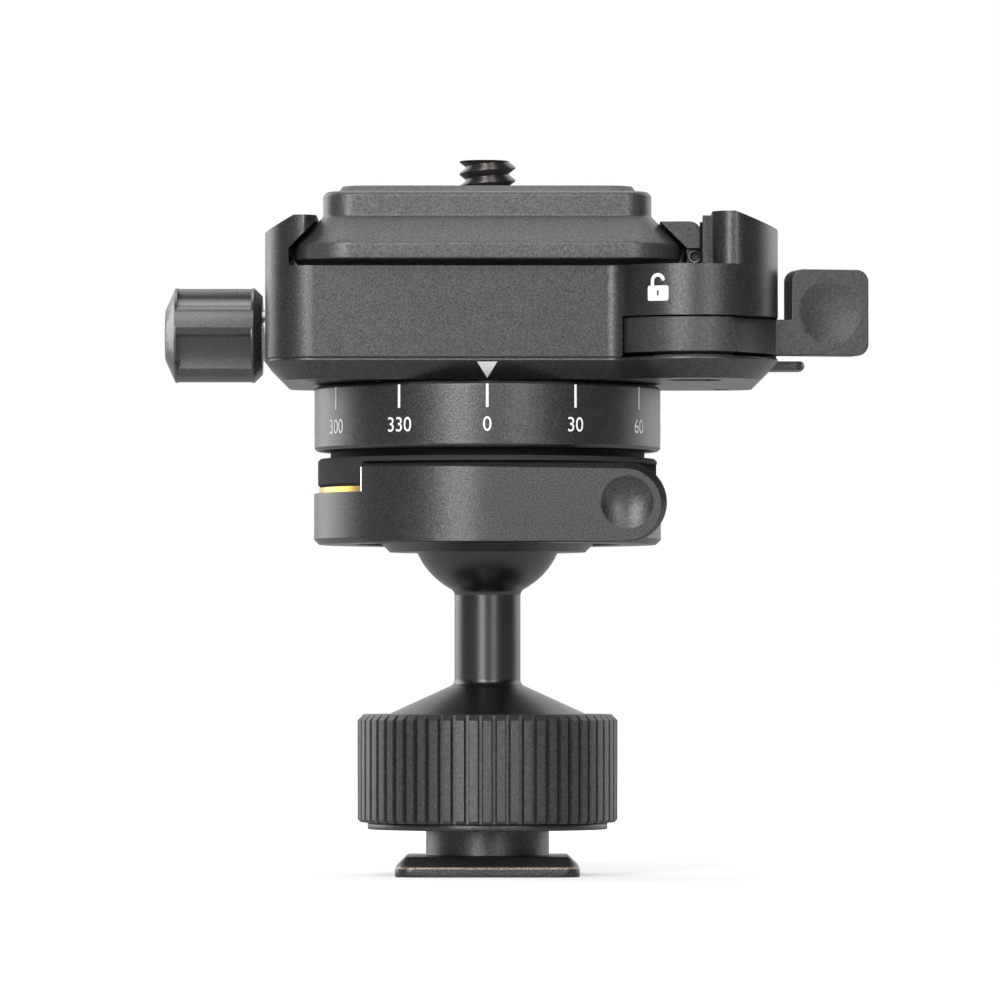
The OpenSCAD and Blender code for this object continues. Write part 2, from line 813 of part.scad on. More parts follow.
module ball_lock_lever() {
    swept = lever_start - 1;
    far = 2 * lever_front;
    dimple_r = (pow(dimple_d / 2, 2) + dimple_depth * dimple_depth) / (2 * dimple_depth);
    color(anodised)
        difference() {
            union() {
                rotate_extrude()
                    polygon([
                        [skirt_r + run_gap, z_lever_ring],
                        [lever_ring_r - lever_ring_chamfer, z_lever_ring],
                        [lever_ring_r, z_lever_ring + lever_ring_chamfer],
                        [lever_ring_r, z_brass],
                        [skirt_r + run_gap, z_brass]
                    ]);
                translate([0, 0, z_lever_ring])
                    linear_extrude(lever_h)
                        intersection() {
                            difference() {
                                circle(lever_front);
                                circle(lever_front - lever_wall);
                            }
                            polygon([
                                [0, 0],
                                far * [cos(-90 - swept), sin(-90 - swept)],
                                far * [cos(-90 - swept / 2), sin(-90 - swept / 2)],
                                [0, -far]
                            ]);
                        }
                difference() {
                    translate([0, lever_t - lever_front, 0])
                        rotate([90, 0, 0]) linear_extrude(lever_t) lever_face();
                    translate([0, 0, z_lever_ring - past])
                        cylinder(r = notch_r + notch_gap, h = lever_h + 2 * past);
                }
            }
            translate([lever_end_x, -lever_front - dimple_r + dimple_depth, z_lever_mid]) sphere(dimple_r);
            lever_bevel_cutter();
        }
}

// The dial and the pan spindle

module dial_ring() {
    color(anodised)
        rotate_extrude()
            polygon([
                [dial_neck_r + fit_gap, z_dial],
                [dial_r - dial_chamfer, z_dial],
                [dial_r, z_dial + dial_chamfer],
                [dial_r, z_dial_top - dial_chamfer],
                [dial_r - dial_chamfer, z_dial_top],
                [dial_neck_r + fit_gap, z_dial_top]
            ]);
}

module pan_spindle() {
    color(steel)
        difference() {
            rotate_extrude()
                polygon([
                    [0, z_neck_seat],
                    [journal_r, z_neck_seat],
                    [journal_r, z_spindle_head],
                    [spindle_r, z_spindle_head],
                    [spindle_r, z_knob - brake_r],
                    [spindle_r - brake_groove_depth, z_knob - brake_r + brake_groove_depth],
                    [spindle_r - brake_groove_depth, z_knob + brake_r - brake_groove_depth],
                    [spindle_r, z_knob + brake_r],
                    [spindle_r, z_spindle_top],
                    [0, z_spindle_top]
                ]);
            translate([0, 0, z_neck_seat - past])
                cylinder(r = spindle_screw_r + fit_gap, h = z_spindle_top - z_neck_seat + 2 * past);
            translate([0, 0, z_spindle_top - spindle_screw_head_h])
                cylinder(r = spindle_screw_head_r + run_gap, h = spindle_screw_head_h + past);
        }
}

module spindle_screw() {
    hex_r = 2;
    hex_depth = 1.8;
    z_head = z_spindle_top - spindle_screw_head_h;
    color(dark_steel)
        difference() {
            union() {
                translate([0, 0, z_spindle_screw + slip_gap])
                    cylinder(r = spindle_screw_r, h = z_head - z_spindle_screw);
                translate([0, 0, z_head]) cylinder(r = spindle_screw_head_r, h = spindle_screw_head_h - slip_gap);
            }
            translate([0, 0, z_spindle_top - hex_depth]) cylinder(r = hex_r, h = hex_depth + past, $fn = 6);
        }
}

module pan_washer() {
    color(nylon) ring(dial_neck_r - pan_washer_inset, journal_r + free_gap, z_neck_seat, z_neck_seat + pan_washer_t);
}

// The clamp

module base_plate() {
    color(anodised)
        difference() {
            union() {
                translate([0, 0, z_base]) clamp_slab(base_chamfer, base_chamfer);
                translate([0, 0, z_base + base_chamfer]) clamp_slab(base_t - base_chamfer);
            }
            translate([0, 0, z_base - past]) cylinder(r = journal_r + run_gap, h = base_t + 2 * past);
            translate([pivot[0], pivot[1], z_base - past]) {
                cylinder(r = pivot_r + run_gap, h = base_t + 2 * past);
                cylinder(r = pivot_head_r + slip_gap, h = pivot_head_sink + pivot_head_h + past);
            }
            for (place = base_screw_places)
                translate([place[0], place[1], z_base]) base_screw_shape(fit_gap, past);
            button_well();
        }
}

// A countersunk screw from its head's face upwards, grown by gap for its hole
module base_screw_shape(gap, under) {
    rim = 0.15;
    translate([0, 0, -under]) cylinder(r = base_screw_head_r + gap, h = under + rim);
    translate([0, 0, rim])
        cylinder(r1 = base_screw_head_r + gap, r2 = base_screw_r + gap, h = base_screw_head_h - rim);
    cylinder(r = base_screw_r + gap, h = base_t + base_screw_bite + (gap > 0 ? free_gap : 0));
}

module base_screws() {
    hex_r = 1;
    hex_depth = 0.5;
    color(dark_steel)
        for (place = base_screw_places)
            translate([place[0], place[1], z_base])
                difference() {
                    base_screw_shape(0, 0);
                    translate([0, 0, -past]) cylinder(r = hex_r, h = past + hex_depth, $fn = 6);
                }
}

// The well in the base plate for the safety button and its spring
module button_well() {
    z_floor = z_base + button_floor;
    wide = button_w + 2 * button_shoulder + 2 * slip_gap;
    mouth = button_w + 2 * slip_gap;
    translate([button_well_x, button_y - wide / 2, z_floor]) cube([button_stop_x - button_well_x, wide, base_t]);
    translate([button_stop_x - past, button_y - mouth / 2, z_floor])
        cube([button_mouth + 2 * past, mouth, base_t]);
}

module safety_button() {
    tip_x = clamp_right + button_reach;
    shank_len = tip_x - button_stop_x;
    color(moulded)
        intersection() {
            translate([0, 0, z_button])
                linear_extrude(button_t)
                    union() {
                        translate([button_back_x, button_y - button_w / 2 - button_shoulder])
                            square([button_body_len, button_w + 2 * button_shoulder]);
                        translate([button_stop_x + shank_len / 2 - button_round_r, button_y])
                            rounded_square(shank_len + 2 * button_round_r, button_w, button_round_r);
                    }
            translate([0, button_y + button_w, 0])
                rotate([90, 0, 0])
                    linear_extrude(2 * button_w)
                        union() {
                            translate([button_back_x, z_button])
                                square([tip_x - button_t / 2 - button_back_x, button_t]);
                            translate([tip_x - button_t / 2, z_button_mid]) circle(button_t / 2);
                        }
        }
}

module button_spring() {
    color(steel)
        translate([button_well_x + slip_gap, button_y, z_button_mid])
            coil_spring(button_spring_r, button_wire_r, button_spring_len - slip_gap, button_spring_turns);
}

// The fixed jaw's profile seen from the front, on the left
module fixed_jaw_profile() {
    z_turn = z_edge_top - edge_room;
    polygon([
        [-clamp_left, z_bed - past],
        [-clamp_left, z_fixed_jaw - slope_drop],
        [slope_run - clamp_left, z_fixed_jaw],
        [-fixed_lip_x, z_fixed_jaw],
        [-fixed_lip_x, z_lip],
        [-channel_x, z_turn],
        [-channel_x, z_bed - past]
    ]);
}

module fixed_jaw() {
    intersection() {
        translate([0, clamp_back + past, 0])
            rotate([90, 0, 0]) linear_extrude(clamp_deep + 2 * past) fixed_jaw_profile();
        translate([0, 0, z_bed - past / 2]) clamp_slab(jaw_h + past);
        translate([-clamp_left, clamp_mid[1], z_bed - past / 2])
            rounded_block(2 * (clamp_left - fixed_lip_x), clamp_deep, jaw_end_r, jaw_h + past);
    }
}

module right_wall() {
    far = clamp_deep;
    difference() {
        intersection() {
            translate([0, clamp_back + past, 0])
                rotate([90, 0, 0])
                    linear_extrude(clamp_deep + boss_r + 2 * past)
                        polygon([
                            [wall_x, z_bed - past],
                            [clamp_right, z_bed - past],
                            [clamp_right, z_wall - wall_slope_drop],
                            [clamp_right - wall_slope_run, z_wall],
                            [wall_x, z_wall]
                        ]);
            translate([0, 0, z_bed - past / 2]) clamp_slab(wall_h + past);
        }
        translate([0, 0, z_bed])
            linear_extrude(wall_h + past)
                difference() {
                    polygon([
                        [wall_x - past, wall_end[1]],
                        wall_end,
                        wall_end_out,
                        [wall_end_out[0], -far],
                        [wall_x - past, -far]
                    ]);
                    translate(wall_end) circle(wall_end_r);
                }
        translate([0, 0, z_bed])
            linear_extrude(wall_h + past)
                difference() {
                    translate([wall_x - past, clamp_back - wall_end_r]) square([wall_end_r + past, far]);
                    translate([wall_x + wall_end_r, clamp_back - wall_end_r]) circle(wall_end_r);
                }
    }
}

// The stop that closes the gap between jaw and wall at the front
module jaw_stop() {
    translate([jaw_back_x, -jaw_len / 2 - free_gap - jaw_stop_t, z_bed - past])
        cube([wall_x + wall_end_r - jaw_back_x, jaw_stop_t, wall_h - jaw_stop_drop + past]);
}

// What is milled out under the bed for the lever's hub, the jaw's foot and its springs
module jaw_pockets() {
    room = jaw_travel + free_gap;
    arm_x = follower_x - foot_arm_w / 2 - free_gap;
    link_back = -web_front + foot_link_w + free_gap;
    z_low = z_body - past;
    translate([pivot[0], pivot[1], z_low]) cylinder(r = slot_r, h = z_slot_top - z_low);
    translate([pivot[0], pivot[1], z_low]) cube([boss_r + past, slot_back, z_slot_top - z_low]);
    // The foot's arm beside the pivot, and its link to the web
    translate([arm_x, -foot_front - free_gap, z_low])
        cube([foot_arm_w + room + free_gap, foot_front - web_front + 2 * free_gap, z_pocket - z_low]);
    translate([arm_x, -web_front - free_gap, z_low])
        cube([jaw_back_x + room - arm_x, foot_link_w + 2 * free_gap, z_pocket - z_low]);
    // The web, which comes up through the bed
    translate([jaw_face_x - free_gap, -web_front - free_gap, z_foot_plate - free_gap])
        cube([jaw_t + room + free_gap, web_front + web_back + 2 * free_gap, z_bed]);
    for (y = guide_pin_ys) {
        translate([well_x, y, z_guide]) rotate([0, 90, 0]) cylinder(r = spring_well_r, h = spring_len);
        translate([well_x - guide_pin_root, y, z_guide])
            rotate([0, 90, 0])
                cylinder(r = guide_pin_r + fit_gap, h = wall_x + guide_pin_bite - well_x + guide_pin_root + slip_gap);
    }
}

module clamp_body() {
    color(anodised)
        difference() {
            union() {
                translate([0, 0, z_body]) clamp_slab(bed_h);
                fixed_jaw();
                right_wall();
                jaw_stop();
            }
            translate([0, 0, z_body - past]) cylinder(r = pan_cavity_r, h = z_spindle_top + pan_cavity_gap - z_body + past);
            translate([-clamp_left - past, 0, z_knob])
                rotate([0, 90, 0]) cylinder(r = pan_screw_r + run_gap, h = clamp_left + past);
            translate([brake_back_x - brake_travel - free_gap, 0, z_knob])
                rotate([0, 90, 0]) cylinder(r = brake_r + run_gap, h = clamp_left / 2);
            jaw_pockets();
            translate([pivot[0], pivot[1], z_body])
                cylinder(r = pivot_thread_r + fit_gap, h = z_slot_top - z_body + pivot_bite + slip_gap);
            for (place = base_screw_places)
                translate([place[0], place[1], z_base]) base_screw_shape(fit_gap, 0);
        }
}

module lever_pivot() {
    hex_r = 1.4;
    hex_depth = 0.8;
    z_head = z_base + pivot_head_sink;
    color(dark_steel)
        translate([pivot[0], pivot[1], 0])
            difference() {
                union() {
                    translate([0, 0, z_head]) cylinder(r = pivot_head_r, h = pivot_head_h);
                    translate([0, 0, z_head]) cylinder(r = pivot_r, h = z_slot_top - fit_gap - z_head);
                    translate([0, 0, z_head]) cylinder(r = pivot_thread_r, h = z_slot_top + pivot_bite - z_head);
                }
                translate([0, 0, z_head - past]) cylinder(r = hex_r, h = past + hex_depth, $fn = 6);
            }
}

module lever_washer() {
    color(nylon)
        translate([pivot[0], pivot[1], 0]) ring(lever_washer_r, pivot_r + run_gap, z_body, z_body + lever_washer_t);
}

// The lever's cam slot: a spiral that draws the jaw back as the lever opens
module cam_slot() {
    half_w = follower_r + cam_clear;
    spots = [
        for (i = [0 : cam_steps])
            let (share = i / cam_steps)
            [180 + lever_open * share, follower_start - jaw_travel * share]
    ];
    inner = [for (s = spots) (s[1] - half_w) * [cos(s[0]), sin(s[0])]];
    outer = [for (i = [cam_steps : -1 : 0]) (spots[i][1] + half_w) * [cos(spots[i][0]), sin(spots[i][0])]];
    polygon(concat(inner, outer));
    for (s = [spots[0], spots[cam_steps]])
        translate(s[1] * [cos(s[0]), sin(s[0])]) circle(half_w);
}

module clamp_lever() {
    tab_mid = tab_start + tab_w / 2;
    color(moulded)
        translate([pivot[0], pivot[1], z_hub])
            difference() {
                union() {
                    cylinder(r = hub_r, h = hub_h);
                    rotate(lever_rest) {
                        translate([0, -tab_t / 2, 0]) cube([tab_start + tab_corner_r, tab_t, hub_h]);
                        translate([tab_mid, tab_t / 2, tab_h / 2])
                            rotate([90, 0, 0]) rounded_block(tab_w, tab_h, tab_corner_r, tab_t);
                    }
                }
                rotate(lever_rest)
                    translate([tab_mid, -tab_t / 2 - dish_r + dish_depth, tab_h / 2]) sphere(dish_r);
                translate([0, 0, -past]) cylinder(r = pivot_r + run_gap, h = hub_h + 2 * past);
                translate([0, 0, hub_h - cam_depth]) linear_extrude(cam_depth + past) cam_slot();
            }
}

// The jaw's wedge seen from the front
module jaw_profile() {
    top_x = jaw_back_x - jaw_round_r;
    polygon([
        [jaw_face_x, z_edge_top - edge_room],
        [jaw_tip_x, z_jaw_top],
        [top_x, z_jaw_top],
        [jaw_back_x, z_jaw_top - jaw_round_r],
        [jaw_back_x, z_edge_top - edge_room]
    ]);
    intersection() {
        translate([top_x, z_jaw_top - jaw_round_r]) circle(jaw_round_r);
        translate([top_x, z_jaw_top - jaw_round_r]) square(jaw_round_r);
    }
}

module moving_jaw() {
    arm_x = follower_x - foot_arm_w / 2;
    color(anodised)
        difference() {
            union() {
                translate([0, jaw_len / 2, 0]) rotate([90, 0, 0]) linear_extrude(jaw_len) jaw_profile();
                translate([jaw_face_x, jaw_end_step - jaw_len / 2, z_bed + jaw_lift])
                    cube([jaw_t, jaw_len - 2 * jaw_end_step, z_edge_top - z_bed - jaw_lift]);
                translate([jaw_face_x, -web_front, z_foot_plate])
                    cube([jaw_t, web_front + web_back, z_bed + jaw_lift + jaw_t - z_foot_plate]);
                translate([arm_x, -web_front, z_foot_plate])
                    cube([jaw_back_x - arm_x, foot_link_w, foot_plate_t]);
                translate([arm_x, -foot_front, z_foot_plate])
                    cube([foot_arm_w, foot_front - web_front + foot_link_w, foot_plate_t]);
            }
            for (y = guide_pin_ys)
                translate([jaw_face_x - past, y, z_guide])
                    rotate([0, 90, 0]) cylinder(r = guide_pin_r + run_gap, h = jaw_t + 2 * past);
            translate([follower_x, pivot[1], z_foot_plate - past])
                cylinder(r = follower_r + fit_gap, h = foot_plate_t + 2 * past);
        }
}

module cam_follower() {
    z_low = z_hub_top - cam_depth + free_gap;
    color(steel)
        translate([follower_x, pivot[1], z_low])
            cylinder(r = follower_r, h = z_foot_plate + foot_plate_t - z_low);
}

module jaw_guide_pins() {
    start_x = well_x - guide_pin_root + slip_gap;
    color(steel)
        for (y = guide_pin_ys)
            translate([start_x, y, z_guide])
                rotate([0, 90, 0]) cylinder(r = guide_pin_r, h = wall_x + guide_pin_bite - start_x);
}

module jaw_springs() {
    color(steel)
        for (y = guide_pin_ys)
            translate([well_x, y, z_guide]) coil_spring(spring_r, spring_wire_r, spring_len - slip_gap, spring_turns);
}

// The pan knob and its brake

module knob_flute() {
    start = knob_chamfer + knob_land;
    len = knob_len - knob_dome_h - knob_land - start;
    mid_x = knob_flat_x + knob_flute_r - knob_flute_depth;
    translate([knob_flat_x, -knob_r, start]) cube([knob_r, 2 * knob_r, len]);
    translate([mid_x, 0, start]) cylinder(r = knob_flute_r, h = len);
}

module pan_knob() {
    color(gloss_black)
        translate([knob_x, 0, z_knob])
            rotate([0, -90, 0])
                difference() {
                    rotate_extrude()
                        polygon([
                            [0, 0],
                            [knob_r - knob_chamfer, 0],
                            [knob_r, knob_chamfer],
                            [knob_r, knob_len - knob_dome_h],
                            [knob_r - knob_dome_w, knob_len],
                            [0, knob_len]
                        ]);
                    for (i = [0 : knob_flutes - 1])
                        rotate(-90 + knob_turn + 360 * (i + 0.5) / knob_flutes) knob_flute();
                    translate([0, 0, -past]) cylinder(r = pan_screw_r + fit_gap, h = pan_rod_in_knob + past);
                }
}

module pan_screw() {
    start_x = knob_x - pan_rod_in_knob + slip_gap;
    color(steel)
        translate([start_x, 0, z_knob])
            rotate([0, 90, 0]) cylinder(r = pan_screw_r, h = brake_back_x - slip_gap - start_x);
}

module knob_washer() {
    color(steel)
        translate([knob_x, 0, z_knob])
            rotate([0, 90, 0]) ring(knob_washer_r, pan_screw_r + fit_gap, 0, knob_washer_t);
}

module pan_brake_shoe() {
    color(brass)
        translate([brake_back_x, 0, z_knob])
            rotate([0, 90, 0]) {
                cylinder(r = brake_r, h = brake_len);
                translate([0, 0, brake_len])
                    cylinder(r1 = brake_r, r2 = brake_r - brake_groove_depth, h = brake_groove_depth);
            }
}

// The quick-release plate and the camera screw

module qr_plate() {
    edge_r = plate_corner_r + dovetail_h;
    straight_h = plate_block_h - plate_top_chamfer;
    color(plate_grey)
        difference() {
            union() {
                translate([0, 0, z_plate]) rounded_block(plate_w, plate_w, edge_r, plate_edge_h);
                translate([0, 0, z_edge_top]) rounded_frustum(plate_w, plate_w, edge_r, dovetail_h, dovetail_h);
                translate([0, 0, z_block]) rounded_block(block_w, block_w, plate_corner_r, straight_h);
                translate([0, 0, z_block + straight_h])
                    rounded_frustum(block_w, block_w, plate_corner_r, plate_top_chamfer, plate_top_chamfer);
            }
            translate([0, 0, z_plate - past])
                cylinder(r = screw_head_r + free_gap, h = z_web_low - z_plate + past);
            translate([0, 0, z_plate]) cylinder(r = screw_r + run_gap, h = z_plate_top - z_plate + past);
            translate([0, 0, z_web_top]) cylinder(r = clip_well_r, h = z_plate_top - z_web_top + past);
        }
}

module rubber_pad() {
    color(rubber)
        difference() {
            translate([0, 0, z_plate_top]) rounded_frustum(pad_w, pad_w, plate_corner_r, pad_t, pad_taper);
            translate([0, 0, z_plate_top - past]) cylinder(r = clip_well_r, h = pad_t + 2 * past);
        }
}

module screw_circlip() {
    color(steel)
        difference() {
            ring(clip_r, clip_in_r, z_clip, z_clip + clip_t);
            translate([0, -clip_gap_w / 2, z_clip - past]) cube([clip_r + past, clip_gap_w, clip_t + 2 * past]);
        }
}

module camera_screw() {
    groove_r = clip_in_r - run_gap;
    slot_w = 1.4;
    slot_depth = 0.8;
    color(dark_steel)
        difference() {
            rotate_extrude()
                polygon([
                    [0, z_screw_head],
                    [screw_head_r - screw_head_chamfer, z_screw_head],
                    [screw_head_r, z_screw_head + screw_head_chamfer],
                    [screw_head_r, z_screw_head + screw_head_h],
                    [screw_shank_r, z_screw_head + screw_head_h],
                    [screw_shank_r, z_clip - slip_gap / 2],
                    [groove_r, z_clip - slip_gap / 2],
                    [groove_r, z_clip + clip_t + slip_gap / 2],
                    [screw_shank_r, z_clip + clip_t + slip_gap / 2],
                    [screw_shank_r, z_pad_top + screw_thread_lift],
                    [screw_r, z_pad_top + screw_thread_lift],
                    [screw_r, z_screw_tip - screw_chamfer],
                    [screw_r - screw_chamfer, z_screw_tip],
                    [0, z_screw_tip]
                ]);
            translate([-screw_head_r - past, -slot_w / 2, z_screw_head - past])
                cube([2 * (screw_head_r + past), slot_w, slot_depth + past]);
        }
}

shoe_foot();
ball_stem();
clamp_washer();
lock_ring();
ball_top_pad();
ball_liner();
housing();
socket_collar();
brass_ring();
dial_ring();
pan_spindle();
spindle_screw();
pan_washer();
ball_lock_lever();
clamp_body();
base_plate();
base_screws();
lever_pivot();
lever_washer();
jaw_guide_pins();
jaw_springs();
button_spring();
clamp_lever();
moving_jaw();
cam_follower();
safety_button();
pan_brake_shoe();
pan_knob();
pan_screw();
knob_washer();
qr_plate();
rubber_pad();
screw_circlip();
camera_screw();
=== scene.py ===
"""Looks for a reverse ball head: finishes, rounded edges, prints, screw thread and studio stage."""

import json
import math

import bmesh
import bpy
from bpy.props import FloatProperty, FloatVectorProperty, IntProperty, PointerProperty, StringProperty
from mathutils import Matrix, Vector


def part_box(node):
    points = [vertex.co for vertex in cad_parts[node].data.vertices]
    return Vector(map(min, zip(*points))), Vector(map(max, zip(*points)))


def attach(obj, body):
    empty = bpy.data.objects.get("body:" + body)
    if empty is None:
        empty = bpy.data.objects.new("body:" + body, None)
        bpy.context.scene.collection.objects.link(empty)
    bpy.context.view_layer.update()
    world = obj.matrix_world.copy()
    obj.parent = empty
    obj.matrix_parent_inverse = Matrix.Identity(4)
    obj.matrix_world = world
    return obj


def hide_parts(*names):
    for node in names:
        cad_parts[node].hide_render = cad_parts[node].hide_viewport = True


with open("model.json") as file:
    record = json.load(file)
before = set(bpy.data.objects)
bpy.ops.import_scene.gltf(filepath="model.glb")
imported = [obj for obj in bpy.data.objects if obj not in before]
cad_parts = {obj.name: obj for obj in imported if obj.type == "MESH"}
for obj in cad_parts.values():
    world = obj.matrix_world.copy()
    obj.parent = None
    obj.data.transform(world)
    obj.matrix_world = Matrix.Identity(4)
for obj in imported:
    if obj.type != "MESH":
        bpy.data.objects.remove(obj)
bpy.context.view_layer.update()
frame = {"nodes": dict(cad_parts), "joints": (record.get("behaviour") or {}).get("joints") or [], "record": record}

bl_info = {
    "name": "Reverse Ball Head",
    "version": (1, 0, 0),
    "blender": (4, 5, 0),
    "location": "3D View > Sidebar > Ball Head",
    "description": "Finishes, prints, thread and stage for a reverse ball head",
    "category": "Object",
}

MM = 0.001

# Boxes of the CAD nodes that the added shapes are set against
DIAL_LOW, DIAL_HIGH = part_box("dial_ring")
BASE_LOW, BASE_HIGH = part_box("base_plate")
BODY_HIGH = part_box("clamp_body")[1]
SCREW_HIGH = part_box("camera_screw")[1]
PAD_LOW, PAD_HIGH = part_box("rubber_pad")
LEVER_LOW, LEVER_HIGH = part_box("ball_lock_lever")
BRASS_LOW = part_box("brass_ring")[0]
JAW_LOW, JAW_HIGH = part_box("moving_jaw")
PLATE_LOW, PLATE_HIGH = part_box("qr_plate")

# Sizes of the CAD that its boxes don't show
EDGE_ROOM = 0.6 * MM
PLATE_LIFT = 0.6 * MM
DIAL_GAP = 0.75 * MM
JAW_FACE = PLATE_HIGH.x + EDGE_ROOM
BED = PLATE_LOW.z - PLATE_LIFT
BAND_TOP = DIAL_LOW.z - DIAL_GAP
PIVOT = Vector(next(j["pos_m"] for j in frame["joints"] if j["name"] == "clamp_lever_turn"))
BOSS_R = BODY_HIGH.x - PIVOT.x
FRONT_Y = -17 * MM
BASE_CHAMFER = 1.8 * MM
FOOT_EDGE = 0.9 * MM

# Settings of the added shapes and of the stage, with lengths in metres
WORN_REACH = 0.16 * MM
SEAM = 0.14 * MM
MERGE = 0.001 * MM
DIGIT_WIDTH = 0.92
TURN_STEPS = 144
SENSOR_MM = 36
LAMP_AIM = Vector((0, 0, 0.04))
FLOOR_REACH = 3
FLOOR_DROP = 0.02 * MM

NODE_SLOTS = {part["node"]: part["material_slot"] for part in frame["record"]["subparts"]}


class HeadColours(bpy.types.PropertyGroup):
    """Colours of the finishes, as sRGB hex values."""

    anodised: StringProperty(
        name="Anodised", description="Bead-blasted anodised aluminium", default="#1a1a1b"
    )
    matte: StringProperty(name="Matte", description="Coarsely blasted aluminium", default="#363638")
    plate: StringProperty(name="Plate", description="Anodised quick-release plate", default="#373739")
    gloss: StringProperty(name="Gloss", description="Turned and polished black parts", default="#101011")
    bare: StringProperty(
        name="Bare", description="Aluminium where the colour is rubbed off", default="#b3a391"
    )
    knob: StringProperty(name="Knob", description="Bright-turned pan knob", default="#303032")
    moulded: StringProperty(name="Moulded", description="Glass-filled nylon", default="#2c2c2e")
    rubber: StringProperty(name="Rubber", description="Pad on the plate", default="#565657")
    # Near-black painted shade for the pieces put in the gap under the dial and in the jaw's slit
    seal: StringProperty(name="Painted gap shade", description="Seal in the gap under the dial", default="#060606")
    steel: StringProperty(name="Steel", description="Bright steel", default="#b4b4b6")
    dark_steel: StringProperty(name="Dark steel", description="Black-oxide steel", default="#555250")
    brass: StringProperty(name="Brass", description="Brass slip ring", default="#e3b862")
    nylon: StringProperty(name="Nylon", description="White slip plastic", default="#e6e4dc")
    ink: StringProperty(name="Ink", description="Printed numbers and signs", default="#f4f4f2")


class HeadPrint(bpy.types.PropertyGroup):
    """Sizes of the dial's scale and of the clamp's signs."""

    tick_length: FloatProperty(
        name="Tick length", description="Length of a dial tick", default=2.28 * MM, unit="LENGTH"
    )
    tick_width: FloatProperty(
        name="Tick width", description="Width of a dial tick", default=0.26 * MM, unit="LENGTH"
    )
    tick_step: IntProperty(name="Tick step", description="Degrees between two ticks", default=30, min=5)
    digit_height: FloatProperty(
        name="Digit height", description="Height of the numbers", default=1.43 * MM, unit="LENGTH"
    )
    digit_drop: FloatProperty(
        name="Digit drop", description="From the dial's top to the middle of the numbers",
        default=4.21 * MM, unit="LENGTH",
    )
    ink_lift: FloatProperty(
        name="Ink lift", description="Thickness of the ink", default=0.02 * MM, unit="LENGTH"
    )
    index_width: FloatProperty(
        name="Index width", description="Width of the index mark", default=2.0 * MM, unit="LENGTH"
    )
    index_height: FloatProperty(
        name="Index height", description="Drop of the index mark on the chamfer",
        default=1.55 * MM, unit="LENGTH",
    )
    lock_width: FloatProperty(
        name="Padlock width", description="Width of the padlock's body", default=2.22 * MM, unit="LENGTH"
    )
    lock_height: FloatProperty(
        name="Padlock height", description="Height of the padlock's body", default=1.48 * MM, unit="LENGTH"
    )
    shackle_radius: FloatProperty(
        name="Shackle radius", description="Outer radius of the padlock's shackle",
        default=0.76 * MM, unit="LENGTH",
    )
    shackle_width: FloatProperty(
        name="Shackle width", description="Width of the shackle", default=0.36 * MM, unit="LENGTH"
    )
    keyhole_radius: FloatProperty(
        name="Keyhole radius", description="Radius of the keyhole", default=0.105 * MM, unit="LENGTH"
    )
    lock_z: FloatProperty(
        name="Padlock place", description="Height of the padlock's body", default=57.22 * MM, unit="LENGTH"
    )
    lock_turn: FloatProperty(
        name="Padlock turn", description="Angle on the boss from the front",
        default=math.radians(-26.2), subtype="ANGLE",
    )


class HeadLever(bpy.types.PropertyGroup):
    """Sizes of the ball lock lever's bar."""

    start: FloatProperty(
        name="Start", description="Angle from the front to the bar's left end",
        default=math.radians(45.6), subtype="ANGLE",
    )
    thickness: FloatProperty(
        name="Thickness", description="Thickness of the straight part", default=2.8 * MM, unit="LENGTH"
    )
    wall: FloatProperty(
        name="Wall", description="Thickness of the curved part", default=2 * MM, unit="LENGTH"
    )
    bevel: FloatProperty(
        name="Bevel", description="Mean width of the bevel round the front", default=0.36 * MM, unit="LENGTH"
    )
    bevel_shift: FloatProperty(
        name="Bevel shift", description="How far the front is set off from the outline",
        default=0.24 * MM, unit="LENGTH",
    )
    edge: FloatProperty(name="Edge", description="Rounding of the edges", default=0.04 * MM, unit="LENGTH")
    dimple_radius: FloatProperty(
        name="Dimple radius", description="Radius of the finger dimple", default=2.6 * MM, unit="LENGTH"
    )
    dimple_depth: FloatProperty(
        name="Dimple depth", description="Depth of the finger dimple", default=0.7 * MM, unit="LENGTH"
    )
    ring_wall: FloatProperty(name="Ring wall", description="Wall of the ring", default=4 * MM, unit="LENGTH")
    ring_chamfer: FloatProperty(
        name="Ring chamfer", description="Chamfer under the ring", default=0.5 * MM, unit="LENGTH"
    )
    # A bright steel strip at the bar's left end: painted highlight for the light along the end's edge
    worn: FloatProperty(
        name="Highlight strip", description="Width of the painted highlight strip at the left end",
        default=0.1 * MM, unit="LENGTH",
    )
    worn_turn: FloatProperty(
        name="Highlight turn", description="Turn of the painted highlight strip from the front",
        default=math.radians(10), subtype="ANGLE",
    )


class HeadThread(bpy.types.PropertyGroup):
    """Sizes of the camera screw's thread and of the pad's ribs."""

    crest: FloatProperty(
        name="Crest", description="Radius of the thread's crest", default=2.8 * MM, unit="LENGTH"
    )
    pitch: FloatProperty(name="Pitch", description="Pitch of the thread", default=1.27 * MM, unit="LENGTH")
    depth: FloatProperty(name="Depth", description="Depth of the thread", default=0.62 * MM, unit="LENGTH")
    rib_pitch: FloatProperty(
        name="Rib pitch", description="Distance between the pad's ribs", default=1.6 * MM, unit="LENGTH"
    )
    rib_depth: FloatProperty(
        name="Rib depth", description="Depth between the pad's ribs", default=0.22 * MM, unit="LENGTH"
    )
    rib_margin: FloatProperty(
        name="Rib margin", description="Plain border of the pad", default=1.4 * MM, unit="LENGTH"
    )
    rib_hole: FloatProperty(
        name="Rib hole", description="Half of the plain square round the screw",
        default=6.4 * MM, unit="LENGTH",
    )


